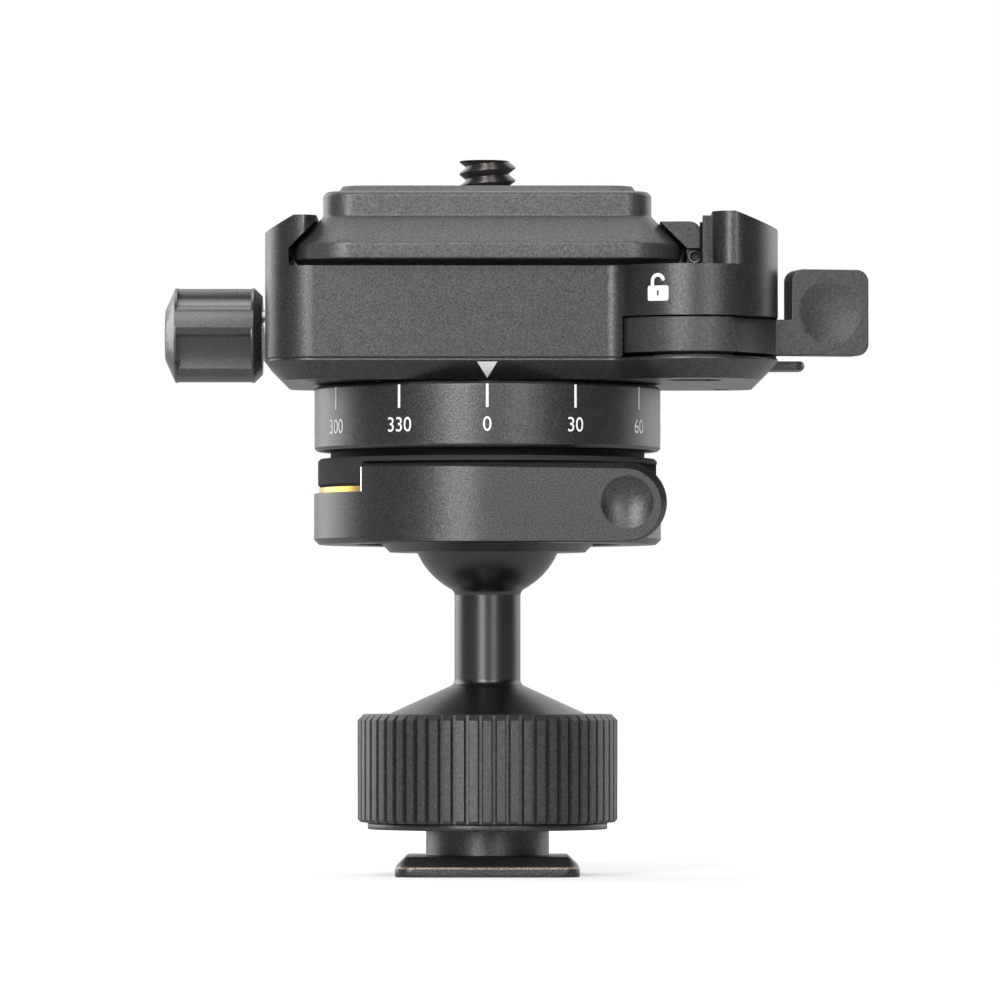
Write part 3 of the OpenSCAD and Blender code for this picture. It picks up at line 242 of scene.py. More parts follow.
class HeadStage(bpy.types.PropertyGroup):
    """Camera, lamps and background."""

    camera_place: FloatVectorProperty(
        name="Camera", description="Where the camera stands",
        default=(1.25 * MM, -782 * MM, 20 * MM), subtype="TRANSLATION",
    )
    aim_height: FloatProperty(
        name="Aim height", description="Height that the camera aims at", default=37.5 * MM, unit="LENGTH"
    )
    lens: FloatProperty(
        name="Lens", description="Focal length on a 36 mm sensor, in millimetres",
        default=281.5, unit="CAMERA",
    )
    front_left: FloatProperty(
        name="Front left", description="Brightness of the softbox left of the camera", default=7.8
    )
    front_right: FloatProperty(
        name="Front right", description="Brightness of the softbox right of the camera", default=4.3
    )
    top: FloatProperty(name="Top", description="Brightness of the softbox above", default=2.0)
    rim_left: FloatProperty(
        name="Rim left", description="Brightness of the softbox behind on the left", default=2.0
    )
    rim_right: FloatProperty(
        name="Rim right", description="Brightness of the softbox behind on the right", default=0.9
    )
    ambient: FloatProperty(
        name="Ambient", description="Level of the white surroundings on matte surfaces", default=0.3
    )
    left_side: FloatProperty(
        name="Left side", description="Level of the room's left side in reflections", default=0.14
    )
    right_side: FloatProperty(
        name="Right side", description="Level of the room's right side in reflections", default=0.0
    )
    right_flag: FloatProperty(
        name="Right flag", description="How far back the dark right side reaches", default=0.2
    )


def linear(hex_text):
    """An sRGB hex value as linear RGBA."""
    parts = [int(hex_text[i : i + 2], 16) / 255 for i in (1, 3, 5)]
    return [c / 12.92 if c <= 0.04045 else ((c + 0.055) / 1.055) ** 2.4 for c in parts] + [1.0]


def shade(hex_text, share):
    """A linear colour made lighter or darker by a share."""
    return [c * share for c in linear(hex_text)[:3]] + [1.0]


def add(tree, kind, attributes=(), inputs=()):
    """One node, with its attributes set and its sockets given a value or a link."""
    made = tree.nodes.new(kind)
    for name, value in dict(attributes).items():
        setattr(made, name, value)
    for socket, value in dict(inputs).items():
        if isinstance(value, bpy.types.NodeSocket):
            tree.links.new(value, made.inputs[socket])
        else:
            made.inputs[socket].default_value = value
    return made


def grained(
    name, hex_text, grain_mm, rough, bump_mm, swing=0.35, stretch=(1, 1, 1), shine=0.5, worn=None, **shader
):
    """A finish with a fine grain, a broad uneven tone and perhaps a line rubbed through to bare metal.

    The grain shows in the colour, the roughness, the shine and the height. Its size and its height are given
    in millimetres, and the swing says how far it moves the colour and the shine.
    """
    tone_size = 7 * MM
    tone_share = 0.3
    darker, lighter = 1 - 1.3 * swing, 1 + 0.7 * swing
    smoothest, roughest = rough - 0.05, rough + 0.06
    material = bpy.data.materials.new(name)
    material.use_nodes = True
    tree = material.node_tree
    tree.nodes.clear()
    place = add(tree, "ShaderNodeTexCoord")
    spread = add(tree, "ShaderNodeMapping", {}, {"Vector": place.outputs["Object"], "Scale": stretch})
    grain = add(
        tree, "ShaderNodeTexNoise", {},
        {"Vector": spread.outputs[0], "Scale": 1 / (grain_mm * MM), "Detail": 2.0, "Roughness": 0.6},
    )
    tone = add(
        tree, "ShaderNodeTexNoise", {},
        {"Vector": place.outputs["Object"], "Scale": 1 / tone_size, "Detail": 3.0},
    )
    mixed = add(
        tree, "ShaderNodeMath", {"operation": "MULTIPLY_ADD"},
        {0: tone.outputs["Fac"], 1: tone_share, 2: grain.outputs["Fac"]},
    )
    colour = add(
        tree, "ShaderNodeMix", {"data_type": "RGBA"},
        {0: mixed.outputs[0], 6: shade(hex_text, darker), 7: shade(hex_text, lighter)},
    )
    if worn:
        colour = worn_line(tree, place, grain, colour, *worn)
    rougher = add(
        tree, "ShaderNodeMapRange", {},
        {
            "Value": mixed.outputs[0], "From Min": 0.3, "From Max": 1.0, "To Min": smoothest,
            "To Max": roughest,
        },
    )
    sparkle = add(
        tree, "ShaderNodeMapRange", {},
        {
            "Value": grain.outputs["Fac"], "From Min": 0.3, "From Max": 0.7, "To Min": shine * (1 - swing),
            "To Max": shine * (1 + swing),
        },
    )
    bump = add(
        tree, "ShaderNodeBump", {},
        {"Height": grain.outputs["Fac"], "Strength": 0.6, "Distance": bump_mm * MM},
    )
    surface = add(
        tree, "ShaderNodeBsdfPrincipled", {},
        {
            "Base Color": colour.outputs[2], "Roughness": rougher.outputs[0], "Normal": bump.outputs[0],
            "Specular IOR Level": sparkle.outputs[0], **shader,
        },
    )
    add(tree, "ShaderNodeOutputMaterial", {}, {"Surface": surface.outputs[0]})
    return material


def worn_line(tree, place, grain, colour, height, reach, bare):
    """Rubs the colour through to the bare metal in patches along one height."""
    parts = add(tree, "ShaderNodeSeparateXYZ", {}, {0: place.outputs["Object"]})
    off = add(tree, "ShaderNodeMath", {"operation": "SUBTRACT"}, {0: parts.outputs["Z"], 1: height})
    away = add(tree, "ShaderNodeMath", {"operation": "ABSOLUTE"}, {0: off.outputs[0]})
    close = add(
        tree, "ShaderNodeMapRange", {},
        {"Value": away.outputs[0], "From Min": 0, "From Max": reach, "To Min": 1, "To Max": 0},
    )
    patches = add(
        tree, "ShaderNodeMapRange", {},
        {"Value": grain.outputs["Fac"], "From Min": 0.42, "From Max": 0.58, "To Min": 0.15, "To Max": 1},
    )
    rubbed = add(
        tree, "ShaderNodeMath", {"operation": "MULTIPLY"}, {0: close.outputs[0], 1: patches.outputs[0]}
    )
    return add(
        tree, "ShaderNodeMix", {"data_type": "RGBA"},
        {0: rubbed.outputs[0], 6: colour.outputs[2], 7: linear(bare)},
    )


def finishes():
    """Every finish by its slot, or by a name of its own where it differs from its slot, made once."""
    if finishes.made:
        return finishes.made
    c = bpy.context.scene.head_colours
    finishes.made.update(
        # Bead blasting leaves a fine even grain under the dye, so fronts look soft grey with a faint sparkle
        black_anodised=grained(
            "anodised_aluminium_bead_blasted", c.anodised, 0.16, 0.34, 0.03, 0.45, shine=1.0
        ),
        # The foot is pushed into shoes, so its upper edge is rubbed through to the metal in patches
        worn_anodised=grained(
            "anodised_aluminium_worn_edge", c.anodised, 0.16, 0.34, 0.03, 0.45, shine=1.0,
            worn=(FOOT_EDGE, WORN_REACH, c.bare),
        ),
        # The housing's band is blasted coarsely, so it stays dull where the other sides catch the light
        matte_black=grained("anodised_aluminium_matte", c.matte, 0.16, 0.7, 0.03, 0.3, shine=0.1),
        # The plate has the same blast with a thinner dye, so it looks a little lighter
        plate_anodised=grained(
            "anodised_aluminium_blasted_plate", c.plate, 0.18, 0.36, 0.03, 0.45, shine=1.0
        ),
        # The ball and its stem are turned and polished before the dye, so they mirror the room softly
        ball_black=grained(
            "anodised_aluminium_polished", c.gloss, 0.15, 0.3, 0.001, stretch=(1, 1, 6), shine=1.0
        ),
        # The knob is turned bright, so it shows clear streaks of light along its flutes
        knob_black=grained(
            "anodised_aluminium_bright_turned", c.knob, 0.15, 0.26, 0.001, stretch=(6, 1, 1), shine=1.0
        ),
        # Glass-filled nylon keeps the mould's spark texture, so it is matte with a coarse grain
        moulded_black=grained("glass_filled_nylon_moulded", c.moulded, 0.25, 0.42, 0.02, shine=0.9),
        # Rubber scatters light almost evenly and hardly shines
        pad_rubber=grained("nitrile_rubber_pressed", c.rubber, 0.35, 0.6, 0.015, shine=0.8),
        # Brass is turned and left bare, so it is a bright yellow metal with fine rings
        brass=grained("brass_turned", c.brass, 0.12, 0.24, 0.002, 0.2, (1, 1, 8), Metallic=1.0),
        # Ground steel is a light grey metal
        steel=grained("steel_ground", c.steel, 0.12, 0.28, 0.002, 0.2, Metallic=1.0),
        # Black oxide leaves the steel dark and a little oily
        dark_steel=grained("steel_black_oxide", c.dark_steel, 0.15, 0.3, 0.003, Metallic=0.85),
        # White acetal is smooth and waxy
        slip_plastic=grained("acetal_machined", c.nylon, 0.3, 0.4, 0.003, 0.1),
        # Printed ink is flat white with a thin uneven edge
        ink=grained("screen_print_ink", c.ink, 0.3, 0.5, 0.002, 0.06),
        # Painted shade: near black and hardly shining, for the pieces put in gaps so that the gaps read dark
        seal=grained("painted_gap_shade", c.seal, 0.3, 0.7, 0.005, shine=0.2),
    )
    return finishes.made


finishes.made = {}


def piece(name, bm, body, slot, finish=None, sharp=35):
    """A mesh object at the origin that rides on a body and takes its slot's finish or another one."""
    mesh = bpy.data.meshes.new(name)
    bm.to_mesh(mesh)
    bm.free()
    mesh.materials.append(finishes()[finish or slot])
    mesh.shade_smooth()
    mesh.set_sharp_from_angle(angle=math.radians(sharp))
    made = bpy.data.objects.new(name, mesh)
    bpy.context.scene.collection.objects.link(made)
    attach(made, body)
    return made


def body_of(node):
    """The body that a CAD node belongs to."""
    return next(b for b, nodes in frame["record"]["behaviour"]["bodies"].items() if node in nodes)


def merged_copy(node):
    """A CAD node's mesh with its loose triangles joined and its flat faces made whole."""
    bm = bmesh.new()
    bm.from_mesh(frame["nodes"][node].data)
    bmesh.ops.remove_doubles(bm, verts=bm.verts, dist=MERGE)
    bmesh.ops.dissolve_limit(bm, angle_limit=math.radians(0.5), verts=bm.verts, edges=bm.edges)
    return bm


def verts_in(geom):
    """The corners among mixed parts of a mesh."""
    return [v for v in geom if isinstance(v, bmesh.types.BMVert)]


def edges_in(geom):
    """The edges among mixed parts of a mesh."""
    return [e for e in geom if isinstance(e, bmesh.types.BMEdge)]


def edges_of(verts):
    """Every edge that ends in one of some corners."""
    return list({e for v in verts for e in v.link_edges})


def sharp_edges(bm, degrees):
    """The edges where two faces meet at more than an angle."""
    return [e for e in bm.edges if e.is_manifold and e.calc_face_angle() > math.radians(degrees)]


def bevelled(bm, geom, offset, segments=2, affect="EDGES", clamp=False):
    """Rounds edges or corners."""
    bmesh.ops.bevel(
        bm, geom=geom, offset=offset, offset_type="OFFSET", segments=segments, profile=0.5, affect=affect,
        material=-1, clamp_overlap=clamp,
    )


def cut(bm, place, way, clear=False):
    """Cuts a mesh along a plane, perhaps clears the side the way points to, and gives the cut's edges."""
    geom = bm.verts[:] + bm.edges[:] + bm.faces[:]
    made = bmesh.ops.bisect_plane(bm, geom=geom, plane_co=place, plane_no=way, clear_outer=clear)
    return edges_in(made["geom_cut"])


def sliced(bm, low, high, step):
    """Cuts a mesh across X at even steps, so that it can bend."""
    for i in range(math.ceil((high - low) / step)):
        cut(bm, (low + i * step, 0, 0), (1, 0, 0))


def block(size):
    """A box of a given size, centred on the origin."""
    bm = bmesh.new()
    bmesh.ops.create_cube(bm, size=1)
    bmesh.ops.scale(bm, verts=bm.verts, vec=size)
    return bm


def stood_up(bm):
    """Turns a print that is drawn in X and Y into X and Z."""
    bmesh.ops.rotate(bm, verts=bm.verts, cent=(0, 0, 0), matrix=Matrix.Rotation(math.pi / 2, 3, "X"))


def wrapped(bm, radius, middle, turn):
    """Bends a flat print, drawn in X and Z, round an upright cylinder."""
    for v in bm.verts:
        angle = turn + v.co.x / radius
        reach = radius - v.co.y
        v.co = Vector((middle.x + reach * math.cos(angle), middle.y + reach * math.sin(angle), v.co.z))


def printed(bm, lift):
    """Turns the faces of a flat print, drawn in X and Z, to the front and lifts it by the ink's thickness."""
    bmesh.ops.remove_doubles(bm, verts=bm.verts, dist=MERGE)
    bmesh.ops.recalc_face_normals(bm, faces=bm.faces)
    for face in bm.faces:
        if face.normal.y > 0:
            face.normal_flip()
    bmesh.ops.translate(bm, verts=bm.verts, vec=(0, -lift, 0))


def text_print(words, height, z):
    """Words as a flat mesh, centred on x = 0 and z, drawn in X and Z."""
    curve = bpy.data.curves.new(words, "FONT")
    curve.body = words
    curve.align_x = "CENTER"
    curve.resolution_u = 6
    holder = bpy.data.objects.new(words, curve)
    bpy.context.scene.collection.objects.link(holder)
    bpy.context.view_layer.update()
    flat = bpy.data.meshes.new_from_object(holder)
    bpy.data.objects.remove(holder)
    bm = bmesh.new()
    bm.from_mesh(flat)
    low = min(v.co.y for v in bm.verts)
    high = max(v.co.y for v in bm.verts)
    scale = height / (high - low)
    for v in bm.verts:
        v.co = Vector((v.co.x * scale * DIGIT_WIDTH, 0, (v.co.y - (low + high) / 2) * scale + z))
    bmesh.ops.dissolve_limit(bm, angle_limit=math.radians(1), verts=bm.verts, edges=bm.edges)
    bmesh.ops.triangulate(bm, faces=bm.faces)
    return bm


def turned(points):
    """A closed outline of radius and height, spun round the upright axis."""
    bm = bmesh.new()
    verts = [bm.verts.new((r, 0, z)) for r, z in points]
    edges = [bm.edges.new((a, b)) for a, b in zip(verts, verts[1:] + verts[:1])]
    bmesh.ops.spin(
        bm, geom=verts + edges, cent=(0, 0, 0), axis=(0, 0, 1), angle=math.tau, steps=TURN_STEPS,
        use_merge=True,
    )
    bmesh.ops.recalc_face_normals(bm, faces=bm.faces)
    return bm


def joined(parts):
    """Several meshes in one."""
    whole = bmesh.new()
    for part in parts:
        mesh = bpy.data.meshes.new("part")
        part.to_mesh(mesh)
        part.free()
        whole.from_mesh(mesh)
        bpy.data.meshes.remove(mesh)
    return whole


class HEAD_OT_finishes(bpy.types.Operator):
    """Gives every CAD node the finish of its slot, and the housing a duller one"""

    bl_idname = "head.finishes"
    bl_label = "Finishes"

    def execute(self, context):
        for name, node in frame["nodes"].items():
            node.data.materials.clear()
            finish = "matte_black" if name == "housing" else NODE_SLOTS[name]
            node.data.materials.append(finishes()[finish])
        return {"FINISHED"}


class HEAD_OT_soft_edges(bpy.types.Operator):
    """Rounds the sharp edges of the visible rigid pieces, on copies that stand for them"""

    bl_idname = "head.soft_edges"
    bl_label = "Soft edges"

    def execute(self, context):
        # Width of the rounding on each node, in millimetres
        widths = {
            "shoe_foot": 0.12,
            "clamp_washer": 0.12,
            "dial_ring": 0.1,
            "clamp_body": 0.15,
            "base_plate": 0.12,
            "clamp_lever": 0.3,
            "moving_jaw": 0.12,
            "qr_plate": 0.15,
            "pan_knob": 0.15,
            "safety_button": 0.1,
        }
        for node, width in widths.items():
            bm = merged_copy(node)
            if node in ("clamp_body", "base_plate"):
                self.open_seam(bm)
            sharp = [e for e in sharp_edges(bm, degrees=25) if not self.at_seam(e, 2 * SEAM)]
            # The button's spring works close to its inner corners, so those stay sharp
            if node == "safety_button":
                sharp = [e for e in sharp if e.is_convex]
            bevelled(bm, sharp, width * MM, clamp=True)
            finish = "worn_anodised" if node == "shoe_foot" else None
            soft = piece(node + "_soft", bm, body_of(node), NODE_SLOTS[node], finish, sharp=40)
            weighted = soft.modifiers.new("weighted_normals", "WEIGHTED_NORMAL")
            weighted.keep_sharp = True
            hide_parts(node)
        return {"FINISHED"}

    def at_seam(self, edge, reach):
        """Whether an edge lies along the joint of the clamp's body and its base plate."""
        return all(abs(v.co.z - BASE_HIGH.z) < reach for v in edge.verts)

    def open_seam(self, bm):
        """Breaks the edges at the joint, so that it shows as a fine dark line."""
        on_joint = 0.01 * MM
        rim = [e for e in sharp_edges(bm, degrees=60) if e.is_convex and self.at_seam(e, on_joint)]
        bevelled(bm, rim, SEAM, segments=1)


class HEAD_OT_ball_lever(bpy.types.Operator):
    """Shapes the ball lock lever: its ring, its long bar, the crescent bevel and the finger dimple"""

    bl_idname = "head.ball_lever"
    bl_label = "Ball lock lever"

    def execute(self, context):
        s = context.scene.head_lever
        bar = self.flat_bar(s)
        self.bend(bar, s)
        whole = joined([bar, self.ring(s)])
        lever = piece("ball_lock_lever_shaped", whole, "ball_lock_lever", "black_anodised", sharp=12)
        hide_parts("ball_lock_lever")
        self.worn_end(s)
        return {"FINISHED"}

    def worn_end(self, s):
        """A bright steel strip at the bar's left end, a painted highlight for the light along the end's edge,
        turned so that it also mirrors the left softbox.
        """
        top_margin = 0.3 * MM
        low, high = BRASS_LOW.z, LEVER_HIGH.z - top_margin
        reach = -LEVER_LOW.y - s.worn / 2
        bm = block((s.worn, s.worn, high - low))
        bmesh.ops.rotate(bm, verts=bm.verts, cent=(0, 0, 0), matrix=Matrix.Rotation(-s.worn_turn, 3, "Z"))
        middle = Vector((-reach * math.sin(s.start), -reach * math.cos(s.start), (low + high) / 2))
        bmesh.ops.translate(bm, verts=bm.verts, vec=middle)
        # A steel strip in painted highlight, turned to mirror the left softbox
        piece("ball_lock_lever_edge_highlight", bm, "ball_lock_lever", "steel")

    def flat_bar(self, s):
        """The bar laid flat: X along its front, Y into it, Z up."""
        low, high = LEVER_LOW.z, LEVER_HIGH.z
        end_r = (high - low) / 2
        mid = Vector((LEVER_HIGH.x - end_r, 0, low + end_r))
        left = LEVER_LOW.y * s.start
        end_steps = 40
        bend_reach, bend_step = 0.3 * LEVER_HIGH.x, 0.6 * MM
        bm = bmesh.new()
        first = bm.verts.new((mid.x, 0, low))
        arc = bmesh.ops.spin(bm, geom=[first], cent=mid, axis=(0, -1, 0), angle=math.pi, steps=end_steps)
        last = verts_in(arc["geom_last"])[0]
        corners = [last, bm.verts.new((left, 0, high)), bm.verts.new((left, 0, low)), first]
        for a, b in zip(corners, corners[1:]):
            bm.edges.new((a, b))
        front = bmesh.ops.contextual_create(bm, geom=bm.edges[:])["faces"][0]
        # The front is a smaller copy set towards the lower left, so the bevel is widest at the upper right
        bmesh.ops.inset_region(bm, faces=[front], thickness=s.bevel, use_even_offset=True, use_boundary=True)
        rim = set(front.verts)
        bmesh.ops.translate(bm, verts=list(rim), vec=(-s.bevel_shift, 0, -s.bevel_shift))
        for v in rim:
            if v.co.x < 0 and v.co.z > mid.z:
                v.co.z += s.bevel
        for e in bm.edges:
            inside = [v for v in e.verts if v in rim]
            if len(inside) == 1:
                e.other_vert(inside[0]).co.y = e.calc_length()
        back = bmesh.ops.extrude_edge_only(bm, edges=[e for e in bm.edges if e.is_boundary])["geom"]
        for v in verts_in(back):
            v.co.y = s.thickness
        bmesh.ops.contextual_create(bm, geom=[e for e in edges_in(back) if e.is_boundary])
        bmesh.ops.delete(bm, geom=[front], context="FACES_ONLY")
        bevelled(bm, sharp_edges(bm, degrees=30), s.edge)
        self.dimple(bm, mid, s)
        sliced(bm, left, bend_reach, bend_step)
        bmesh.ops.recalc_face_normals(bm, faces=bm.faces)
        return bm

    def dimple(self, bm, mid, s):
        """Fills the front up to the dimple and sinks the dimple in rings."""
        flat = Matrix.Translation(mid) @ Matrix.Rotation(math.pi / 2, 4, "X")
        rim = [e for e in bm.edges if e.is_boundary]
        sides, rings = 48, 7
        loop = bmesh.ops.create_circle(bm, radius=s.dimple_radius, segments=sides, matrix=flat)["verts"]
        edges = edges_of(loop)
        bmesh.ops.triangle_fill(bm, use_beauty=True, edges=rim + edges)
        ball_r = (s.dimple_radius**2 + s.dimple_depth**2) / (2 * s.dimple_depth)
        for i in range(1, rings):
            step = bmesh.ops.extrude_edge_only(bm, edges=edges)["geom"]
            loop = verts_in(step)
            reach = s.dimple_radius * (1 - i / rings)
            closer = 1 - 1 / (rings - i + 1)
            bmesh.ops.scale(bm, verts=loop, vec=(closer,) * 3, space=Matrix.Translation(-mid))
            for v in loop:
                v.co.y = math.sqrt(ball_r**2 - reach**2) - ball_r + s.dimple_depth
            edges = [e for e in edges_in(step) if all(v in loop for v in e.verts)]
        bmesh.ops.contextual_create(bm, geom=edges)

    def bend(self, bm, s):
        """Wraps the bar's left part round the ring and gives its back the ring's curve."""
        front = -LEVER_LOW.y
        inner = front - s.wall
        for v in bm.verts:
            along, deep, z = v.co
            if deep > s.wall / 2:
                curved = front - math.sqrt(max(inner**2 - max(along, 0) ** 2, 0))
                deep *= min(curved, s.thickness) / s.thickness
            if along < 0:
                turn = along / front
                v.co = Vector(((front - deep) * math.sin(turn), -(front - deep) * math.cos(turn), z))
            else:
                v.co = Vector((along, deep - front, z))

    def ring(self, s):
        """The ring that the bar grows out of, under the brass."""
        outer = LEVER_HIGH.y
        inner = outer - s.ring_wall
        low = LEVER_LOW.z
        high = BRASS_LOW.z
        bm = turned([
            (inner, low),
            (outer - s.ring_chamfer, low),
            (outer, low + s.ring_chamfer),
            (outer, high),
            (inner, high),
        ])
        bevelled(bm, sharp_edges(bm, degrees=25), 2 * s.edge)
        return bm


class HEAD_OT_neck_seal(bpy.types.Operator):
    """Fills the root of the gap under the dial with a near-black ring in painted shade, so the gap reads dark"""

    bl_idname = "head.neck_seal"
    bl_label = "Neck gap shade"

    def execute(self, context):
        air = 0.02 * MM
        inner = DIAL_HIGH.x - 2.9 * MM
        outer = DIAL_HIGH.x - 1.6 * MM
        low = BAND_TOP + air
        high = DIAL_LOW.z - air
        bm = turned([(inner, low), (outer, low), (outer, high), (inner, high)])
        # A ring in painted shade: near black, it darkens the gap as its shade would
        piece("neck_seal", bm, "housing", "pad_rubber", "seal")
        return {"FINISHED"}


class HEAD_OT_jaw_coil(bpy.types.Operator):
    """Winds the small spring that shows under the jaw's front end"""

    bl_idname = "head.jaw_coil"
    bl_label = "Jaw coil"

    def execute(self, context):
        coil_r = 0.56 * MM
        wire_r = 0.18 * MM
        pitch = 0.38 * MM
        turns = 2.5
        wire_sides, turn_steps = 10, 24
        from_jaw = Vector((0.76, 0.2, 0.2)) * MM
        middle = Vector((JAW_FACE, JAW_LOW.y, BED + coil_r + wire_r)) + from_jaw
        place = Matrix.Translation(middle + Vector((coil_r, 0, 0)))
        bm = bmesh.new()
        wire = bmesh.ops.create_circle(
            bm, cap_ends=True, radius=wire_r, segments=wire_sides, matrix=place
        )["verts"]
        faces = list({f for v in wire for f in v.link_faces})
        edges = edges_of(wire)
        steps = int(turn_steps * turns)
        bmesh.ops.spin(
            bm, geom=wire + edges + faces, cent=middle, axis=(0, 1, 0), dvec=(0, pitch * turns / steps, 0),
            angle=math.tau * turns, steps=steps,
        )
        bmesh.ops.recalc_face_normals(bm, faces=bm.faces)
        piece("jaw_coil", bm, "moving_jaw", "dark_steel", sharp=60)
        return {"FINISHED"}


class HEAD_OT_jaw_wiper(bpy.types.Operator):
    """Hangs a thin plate in near-black painted shade that darkens the slit between the jaw's end and its stop"""

    bl_idname = "head.jaw_wiper"
    bl_label = "Jaw slit shade"

    def execute(self, context):
        size = Vector((0.5, 0.15, 4.3)) * MM
        in_from_back, ahead = 0.25 * MM, 0.3 * MM
        low = Vector((JAW_HIGH.x - in_from_back, JAW_LOW.y - ahead, BED))
        bm = block(size)
        bmesh.ops.translate(bm, verts=bm.verts, vec=low + size / 2)
        # A plate in painted shade: it stands in for the shade in the slit
        piece("jaw_wiper", bm, "clamp", "pad_rubber", "seal")
        return {"FINISHED"}


class HEAD_OT_camera_screw(bpy.types.Operator):
    """Cuts the quarter-inch thread of the camera screw"""

    bl_idname = "head.camera_screw"
    bl_label = "Camera screw"

    def execute(self, context):
        t = context.scene.head_thread
        crest = t.crest
        root = crest - t.depth
        low = PAD_LOW.z
        turns = math.ceil((SCREW_HIGH.z - low) / t.pitch) + 2
        bm = bmesh.new()
        flat = t.pitch / 8
        slope = (t.pitch - 2 * flat) / 2
        z = low - t.pitch
        turn_steps = 48
        weld = 0.002 * MM
        overlap = 0.1 * MM
        points = [
            (root, z),
            (root, z + flat),
            (crest, z + flat + slope),
            (crest, z + 2 * flat + slope),
            (root, z + t.pitch),
        ]
        verts = [bm.verts.new((r, 0, h)) for r, h in points]
        edges = [bm.edges.new((a, b)) for a, b in zip(verts, verts[1:])]
        bmesh.ops.spin(
            bm, geom=verts + edges, cent=(0, 0, 0), axis=(0, 0, 1), dvec=(0, 0, t.pitch / turn_steps),
            angle=math.tau * turns, steps=turn_steps * turns,
        )
        bmesh.ops.remove_doubles(bm, verts=bm.verts, dist=weld)
        for height, side in ((SCREW_HIGH.z, 1), (low, -1)):
            rim = cut(bm, (0, 0, height), (0, 0, side), clear=True)
            bmesh.ops.edgeloop_fill(bm, edges=rim)
        bmesh.ops.recalc_face_normals(bm, faces=bm.faces)
        head = merged_copy("camera_screw")
        cut(head, (0, 0, low + overlap), (0, 0, 1), clear=True)
        bmesh.ops.holes_fill(head, edges=[e for e in head.edges if e.is_boundary])
        screw = piece("camera_screw_threaded", joined([bm, head]), "camera_screw", "dark_steel", sharp=30)
        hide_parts("camera_screw")
        return {"FINISHED"}


class HEAD_OT_pad(bpy.types.Operator):
    """Presses fine ribs into the rubber pad"""

    bl_idname = "head.pad"
    bl_label = "Ribbed pad"

    def execute(self, context):
        t = context.scene.head_thread
        bm = merged_copy("rubber_pad")
        middle = (PAD_LOW + PAD_HIGH) / 2
        half = (PAD_HIGH - PAD_LOW) / 2 - Vector((1, 1, 0)) * t.rib_margin
        plain = t.rib_hole
        count = int(half.x / t.rib_pitch)
        lines = [(i + side / 4) * t.rib_pitch for i in range(-count, count + 1) for side in (-1, 1)]
        across, along = Vector((1, 0, 0)), Vector((0, 1, 0))
        cuts = [(x, across) for x in lines]
        cuts += [(y, along) for y in (-half.y, -plain, plain, half.y)]
        for off, way in cuts:
            cut(bm, middle + off * way, way)
        grooves = []
        for face in bm.faces:
            place = face.calc_center_median() - middle
            column = place.x / t.rib_pitch
            clear = abs(place.x) > plain or abs(place.y) > plain
            inside = abs(place.x) < half.x and abs(place.y) < half.y
            upward = face.normal.z > 0.9
            in_groove = abs(column - round(column)) < 0.25
            if upward and inside and clear and in_groove:
                grooves.append(face)
        slant = 0.12 * MM
        bmesh.ops.inset_region(bm, faces=grooves, thickness=slant, use_even_offset=True, use_boundary=True)
        sunk = list({v for f in grooves for v in f.verts})
        bmesh.ops.translate(bm, verts=sunk, vec=(0, 0, -t.rib_depth))
        pad = piece("rubber_pad_ribbed", bm, "qr_plate", "pad_rubber", sharp=10)
        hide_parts("rubber_pad")
        return {"FINISHED"}


class HEAD_OT_dial_print(bpy.types.Operator):
    """Prints the ticks and numbers on the dial"""

    bl_idname = "head.dial_print"
    bl_label = "Dial print"

    def execute(self, context):
        p = context.scene.head_print
        radius = DIAL_HIGH.x
        middle = Vector((0, 0, 0))
        tick_margin = 0.3 * MM
        bend_reach, bend_step = 2 * MM, 0.4 * MM
        top = DIAL_HIGH.z - tick_margin
        parts = []
        for degrees in range(0, 360, p.tick_step):
            turn = math.radians(degrees - 90)
            tick = bmesh.new()
            bmesh.ops.create_grid(tick, x_segments=1, y_segments=4, size=0.5)
            bmesh.ops.scale(tick, verts=tick.verts, vec=(p.tick_width, p.tick_length, 1))
            stood_up(tick)
            bmesh.ops.translate(tick, verts=tick.verts, vec=(0, 0, top - p.tick_length / 2))
            number = text_print(str(degrees), p.digit_height, DIAL_HIGH.z - p.digit_drop)
            for drawn in (tick, number):
                printed(drawn, p.ink_lift)
                sliced(drawn, -bend_reach, bend_reach, bend_step)
                wrapped(drawn, radius, middle, turn)
                parts.append(drawn)
        piece("dial_print", joined(parts), "housing", "slip_plastic", "ink")
        return {"FINISHED"}


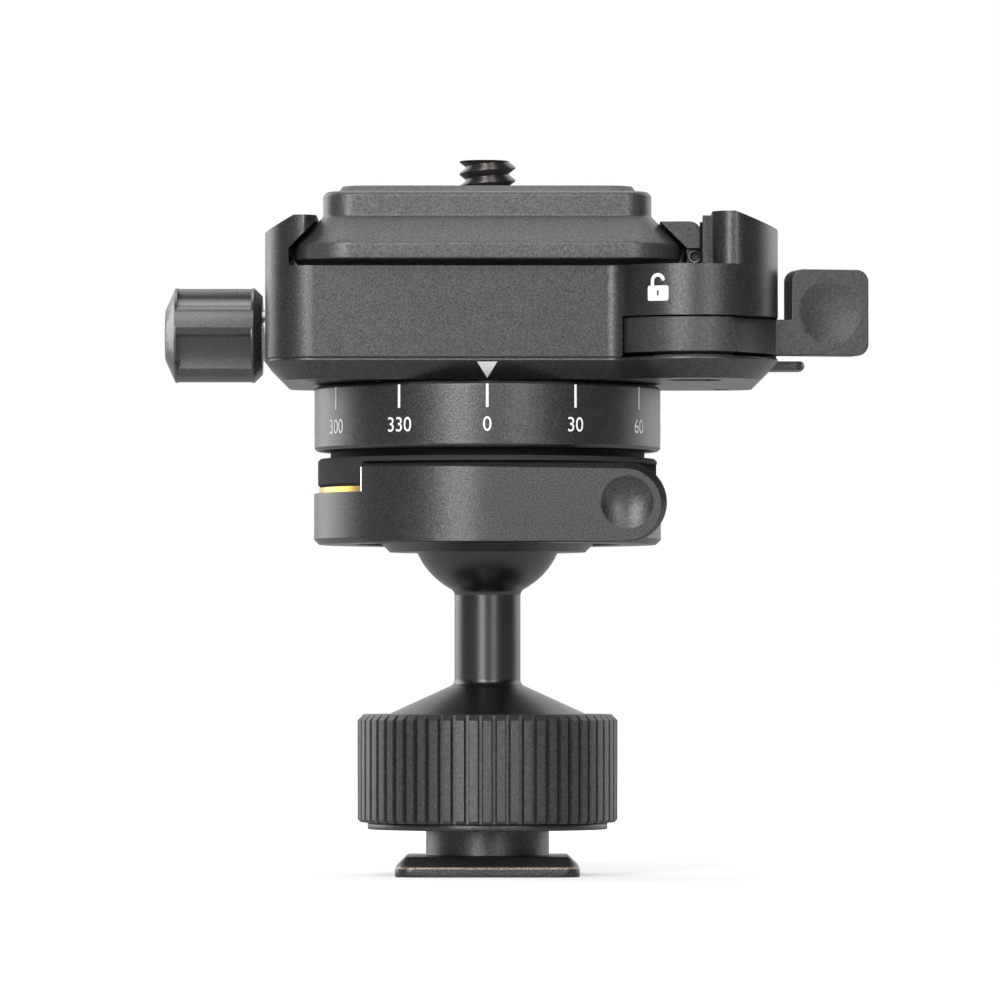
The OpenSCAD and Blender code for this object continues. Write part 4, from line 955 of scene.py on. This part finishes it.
class HEAD_OT_clamp_marks(bpy.types.Operator):
    """Prints the index mark on the base plate and the open padlock on the lever's boss"""

    bl_idname = "head.clamp_marks"
    bl_label = "Clamp marks"

    def execute(self, context):
        p = context.scene.head_print
        self.index_mark(p)
        self.padlock(p)
        return {"FINISHED"}

    def index_mark(self, p):
        """A triangle that hangs point down on the base plate's front chamfer."""
        margin = 0.1 * MM
        top = Vector((0, FRONT_Y + margin, BASE_LOW.z + BASE_CHAMFER - margin))
        down = Vector((0, p.index_height, -p.index_height))
        lift = Vector((0, -p.ink_lift, -p.ink_lift))
        half = Vector((p.index_width / 2, 0, 0))
        mark = bmesh.new()
        verts = [mark.verts.new(place + lift) for place in (top - half, top + half, top + down)]
        face = mark.faces.new(verts)
        mark.normal_update()
        if face.normal.y > 0:
            face.normal_flip()
        piece("index_mark", mark, "clamp", "slip_plastic", "ink")

    def padlock(self, p):
        """An open padlock: a rounded body with a keyhole, and a shackle that ends in the air."""
        corner = 0.2 * MM
        keyhole_y = 0.17 * MM
        overlap = 0.02 * MM
        rise = 0.48 * MM
        sweep = math.radians(161)
        bend_reach, bend_step = 1.2 * MM, 0.2 * MM
        lock = bmesh.new()
        bmesh.ops.create_grid(lock, x_segments=1, y_segments=1, size=0.5)
        bmesh.ops.scale(lock, verts=lock.verts, vec=(p.lock_width, p.lock_height, 1))
        bevelled(lock, lock.verts[:], corner, segments=4, affect="VERTICES")
        rim = lock.edges[:]
        bmesh.ops.delete(lock, geom=lock.faces[:], context="FACES_ONLY")
        place = Matrix.Translation((0, keyhole_y, 0))
        hole = bmesh.ops.create_circle(lock, radius=p.keyhole_radius, segments=16, matrix=place)["verts"]
        for v in hole:
            if v.co.y < keyhole_y:
                v.co.y -= 3 * p.keyhole_radius
        bmesh.ops.triangle_fill(lock, use_beauty=True, edges=rim + edges_of(hole))
        shackle = bmesh.new()
        mean = p.shackle_radius - p.shackle_width / 2
        base = p.lock_height / 2 - overlap
        foot = [shackle.verts.new((-mean + side * p.shackle_width / 2, base, 0)) for side in (-1, 1)]
        leg = bmesh.ops.extrude_edge_only(shackle, edges=[shackle.edges.new(foot)])["geom"]
        risen = verts_in(leg)
        bmesh.ops.translate(shackle, verts=risen, vec=(0, rise, 0))
        bow = [e for e in edges_in(leg) if all(v in risen for v in e.verts)]
        bmesh.ops.spin(
            shackle, geom=risen + bow, cent=(0, base + rise, 0), axis=(0, 0, -1), angle=sweep, steps=20
        )
        end = Vector((-mean * math.cos(sweep), base + rise + mean * math.sin(sweep), 0))
        bmesh.ops.create_circle(
            shackle, cap_ends=True, radius=p.shackle_width / 2, segments=20, matrix=Matrix.Translation(end)
        )
        sign = joined([lock, shackle])
        stood_up(sign)
        bmesh.ops.translate(sign, verts=sign.verts, vec=(0, 0, p.lock_z))
        printed(sign, p.ink_lift)
        sliced(sign, -bend_reach, bend_reach, bend_step)
        wrapped(sign, BOSS_R, PIVOT, p.lock_turn - math.pi / 2)
        piece("padlock_sign", sign, "clamp", "slip_plastic", "ink")


class HEAD_OT_stage(bpy.types.Operator):
    """Sets the camera, the softboxes, the white surroundings and the pale floor"""

    bl_idname = "head.stage"
    bl_label = "Stage"

    def execute(self, context):
        s = context.scene.head_stage
        scene = context.scene
        scene.view_settings.view_transform = "Standard"
        camera = bpy.data.objects.new("camera", bpy.data.cameras.new("camera"))
        scene.collection.objects.link(camera)
        place = Vector(s.camera_place)
        aim = Vector((place.x, 0, s.aim_height))
        camera.location = place
        camera.rotation_euler = (aim - place).to_track_quat("-Z", "Y").to_euler()
        camera.data.lens = s.lens
        camera.data.sensor_width = SENSOR_MM
        camera.data.clip_start = 0.01
        scene.camera = camera
        # Each softbox: its brightness, and its place, width and height in metres
        lamps = {
            "front_left": (s.front_left, (-0.293, -0.851, 0.42), 0.3, 1.3),
            "front_right": (s.front_right, (0.337, -0.834, 0.42), 0.26, 1.3),
            "top": (s.top, (0.0, 0.2, 0.75), 0.6, 0.5),
            "rim_left": (s.rim_left, (-0.75, 0.55, 0.2), 0.7, 1.0),
            "rim_right": (s.rim_right, (0.75, 0.55, 0.2), 0.7, 1.0),
        }
        for name, (level, where, wide, tall) in lamps.items():
            lamp = bpy.data.objects.new(name, bpy.data.lights.new(name, "AREA"))
            scene.collection.objects.link(lamp)
            lamp.data.shape = "RECTANGLE"
            lamp.data.size = wide
            lamp.data.size_y = tall
            lamp.data.energy = level * math.pi * wide * tall
            lamp.location = where
            lamp.rotation_euler = (LAMP_AIM - Vector(where)).to_track_quat("-Z", "Y").to_euler()
        self.room(scene, s)
        bm = bmesh.new()
        bmesh.ops.create_grid(bm, x_segments=8, y_segments=8, size=FLOOR_REACH)
        bmesh.ops.translate(bm, verts=bm.verts, vec=(0, 0, -FLOOR_DROP))
        mesh = bpy.data.meshes.new("floor")
        bm.to_mesh(mesh)
        bm.free()
        floor = bpy.data.objects.new("floor", mesh)
        scene.collection.objects.link(floor)
        mesh.materials.append(self.white_floor())
        return {"FINISHED"}

    def room(self, scene, s):
        """White to the camera; in reflections white behind the object and dark at its sides."""
        side_reach = 0.5
        back_reach = 0.5
        world = bpy.data.worlds.new("studio_room")
        scene.world = world
        world.use_nodes = True
        tree = world.node_tree
        tree.nodes.clear()
        path = add(tree, "ShaderNodeLightPath")
        way = add(tree, "ShaderNodeTexCoord")
        parts = add(tree, "ShaderNodeSeparateXYZ", {}, {0: way.outputs["Generated"]})
        right = add(tree, "ShaderNodeMath", {"operation": "MAXIMUM"}, {0: parts.outputs["X"], 1: 0.0})
        back = add(
            tree, "ShaderNodeMath", {"operation": "MULTIPLY_ADD"},
            {0: right.outputs[0], 1: -s.right_flag, 2: parts.outputs["Y"]},
        )
        sides = add(
            tree, "ShaderNodeMapRange", {},
            {
                "Value": parts.outputs["X"], "From Min": -side_reach, "From Max": side_reach,
                "To Min": s.left_side, "To Max": s.right_side,
            },
        )
        behind = add(
            tree, "ShaderNodeMapRange", {"interpolation_type": "SMOOTHSTEP"},
            {
                "Value": back.outputs[0], "From Min": 0.0, "From Max": back_reach,
                "To Min": sides.outputs[0], "To Max": 1.0,
            },
        )
        mirrored = add(
            tree, "ShaderNodeMath", {"operation": "MAXIMUM"},
            {0: path.outputs["Is Glossy Ray"], 1: path.outputs["Is Transmission Ray"]},
        )
        lit = add(
            tree, "ShaderNodeMix", {"data_type": "FLOAT"},
            {0: mirrored.outputs[0], 2: s.ambient, 3: behind.outputs[0]},
        )
        level = add(
            tree, "ShaderNodeMix", {"data_type": "FLOAT"},
            {0: path.outputs["Is Camera Ray"], 2: lit.outputs[0], 3: 1.0},
        )
        sky = add(tree, "ShaderNodeBackground", {}, {"Color": (1, 1, 1, 1), "Strength": level.outputs[0]})
        add(tree, "ShaderNodeOutputWorld", {}, {"Surface": sky.outputs[0]})

    def white_floor(self):
        """White paper that takes the shadow, glows to pure white further out and is clear from below."""
        shadow_reach, glow_reach = 0.03, 0.25
        near_glow, far_glow = 0.5, 1.0
        paper_colour = (0.55, 0.55, 0.55, 1)
        material = bpy.data.materials.new("matte_white_paper")
        material.use_nodes = True
        tree = material.node_tree
        tree.nodes.clear()
        path = add(tree, "ShaderNodeLightPath")
        place = add(tree, "ShaderNodeTexCoord")
        reach = add(tree, "ShaderNodeVectorMath", {"operation": "LENGTH"}, {0: place.outputs["Object"]})
        near = add(
            tree, "ShaderNodeMapRange", {"interpolation_type": "SMOOTHSTEP"},
            {
                "Value": reach.outputs["Value"], "From Min": shadow_reach, "From Max": glow_reach,
                "To Min": near_glow, "To Max": far_glow,
            },
        )
        glow = add(
            tree, "ShaderNodeMath", {"operation": "MULTIPLY"},
            {0: path.outputs["Is Camera Ray"], 1: near.outputs[0]},
        )
        paper = add(tree, "ShaderNodeBsdfDiffuse", {}, {"Color": paper_colour})
        white = add(tree, "ShaderNodeEmission", {}, {"Color": (1, 1, 1, 1), "Strength": glow.outputs[0]})
        both = add(tree, "ShaderNodeAddShader", {}, {0: paper.outputs[0], 1: white.outputs[0]})
        side = add(tree, "ShaderNodeNewGeometry")
        clear = add(tree, "ShaderNodeBsdfTransparent")
        seen = add(
            tree, "ShaderNodeMixShader", {},
            {0: side.outputs["Backfacing"], 1: both.outputs[0], 2: clear.outputs[0]},
        )
        add(tree, "ShaderNodeOutputMaterial", {}, {"Surface": seen.outputs[0]})
        return material


class HEAD_PT_panel(bpy.types.Panel):
    """Lists the steps that dress the ball head"""

    bl_idname = "HEAD_PT_panel"
    bl_label = "Ball Head"
    bl_space_type = "VIEW_3D"
    bl_region_type = "UI"
    bl_category = "Ball Head"

    def draw(self, context):
        for step in STEPS:
            self.layout.operator(step.bl_idname)
        for group in GROUPS:
            settings = getattr(context.scene, group)
            box = self.layout.box()
            for name in GROUPS[group].__annotations__:
                box.prop(settings, name)


STEPS = (
    HEAD_OT_finishes,
    HEAD_OT_soft_edges,
    HEAD_OT_ball_lever,
    HEAD_OT_neck_seal,
    HEAD_OT_jaw_coil,
    HEAD_OT_jaw_wiper,
    HEAD_OT_camera_screw,
    HEAD_OT_pad,
    HEAD_OT_dial_print,
    HEAD_OT_clamp_marks,
    HEAD_OT_stage,
)
GROUPS = {
    "head_colours": HeadColours,
    "head_print": HeadPrint,
    "head_lever": HeadLever,
    "head_thread": HeadThread,
    "head_stage": HeadStage,
}


def register():
    for made in (*GROUPS.values(), *STEPS, HEAD_PT_panel):
        bpy.utils.register_class(made)
    for name, group in GROUPS.items():
        setattr(bpy.types.Scene, name, PointerProperty(type=group))


def unregister():
    for name in GROUPS:
        delattr(bpy.types.Scene, name)
    for made in (HEAD_PT_panel, *reversed(STEPS), *GROUPS.values()):
        bpy.utils.unregister_class(made)


def main():
    """Dresses the frame step by step."""
    register()
    bpy.ops.head.finishes()
    bpy.ops.head.soft_edges()
    bpy.ops.head.ball_lever()
    bpy.ops.head.neck_seal()
    bpy.ops.head.jaw_coil()
    bpy.ops.head.jaw_wiper()
    bpy.ops.head.camera_screw()
    bpy.ops.head.pad()
    bpy.ops.head.dial_print()
    bpy.ops.head.clamp_marks()
    bpy.ops.head.stage()


if __name__ == "__main__":
    main()
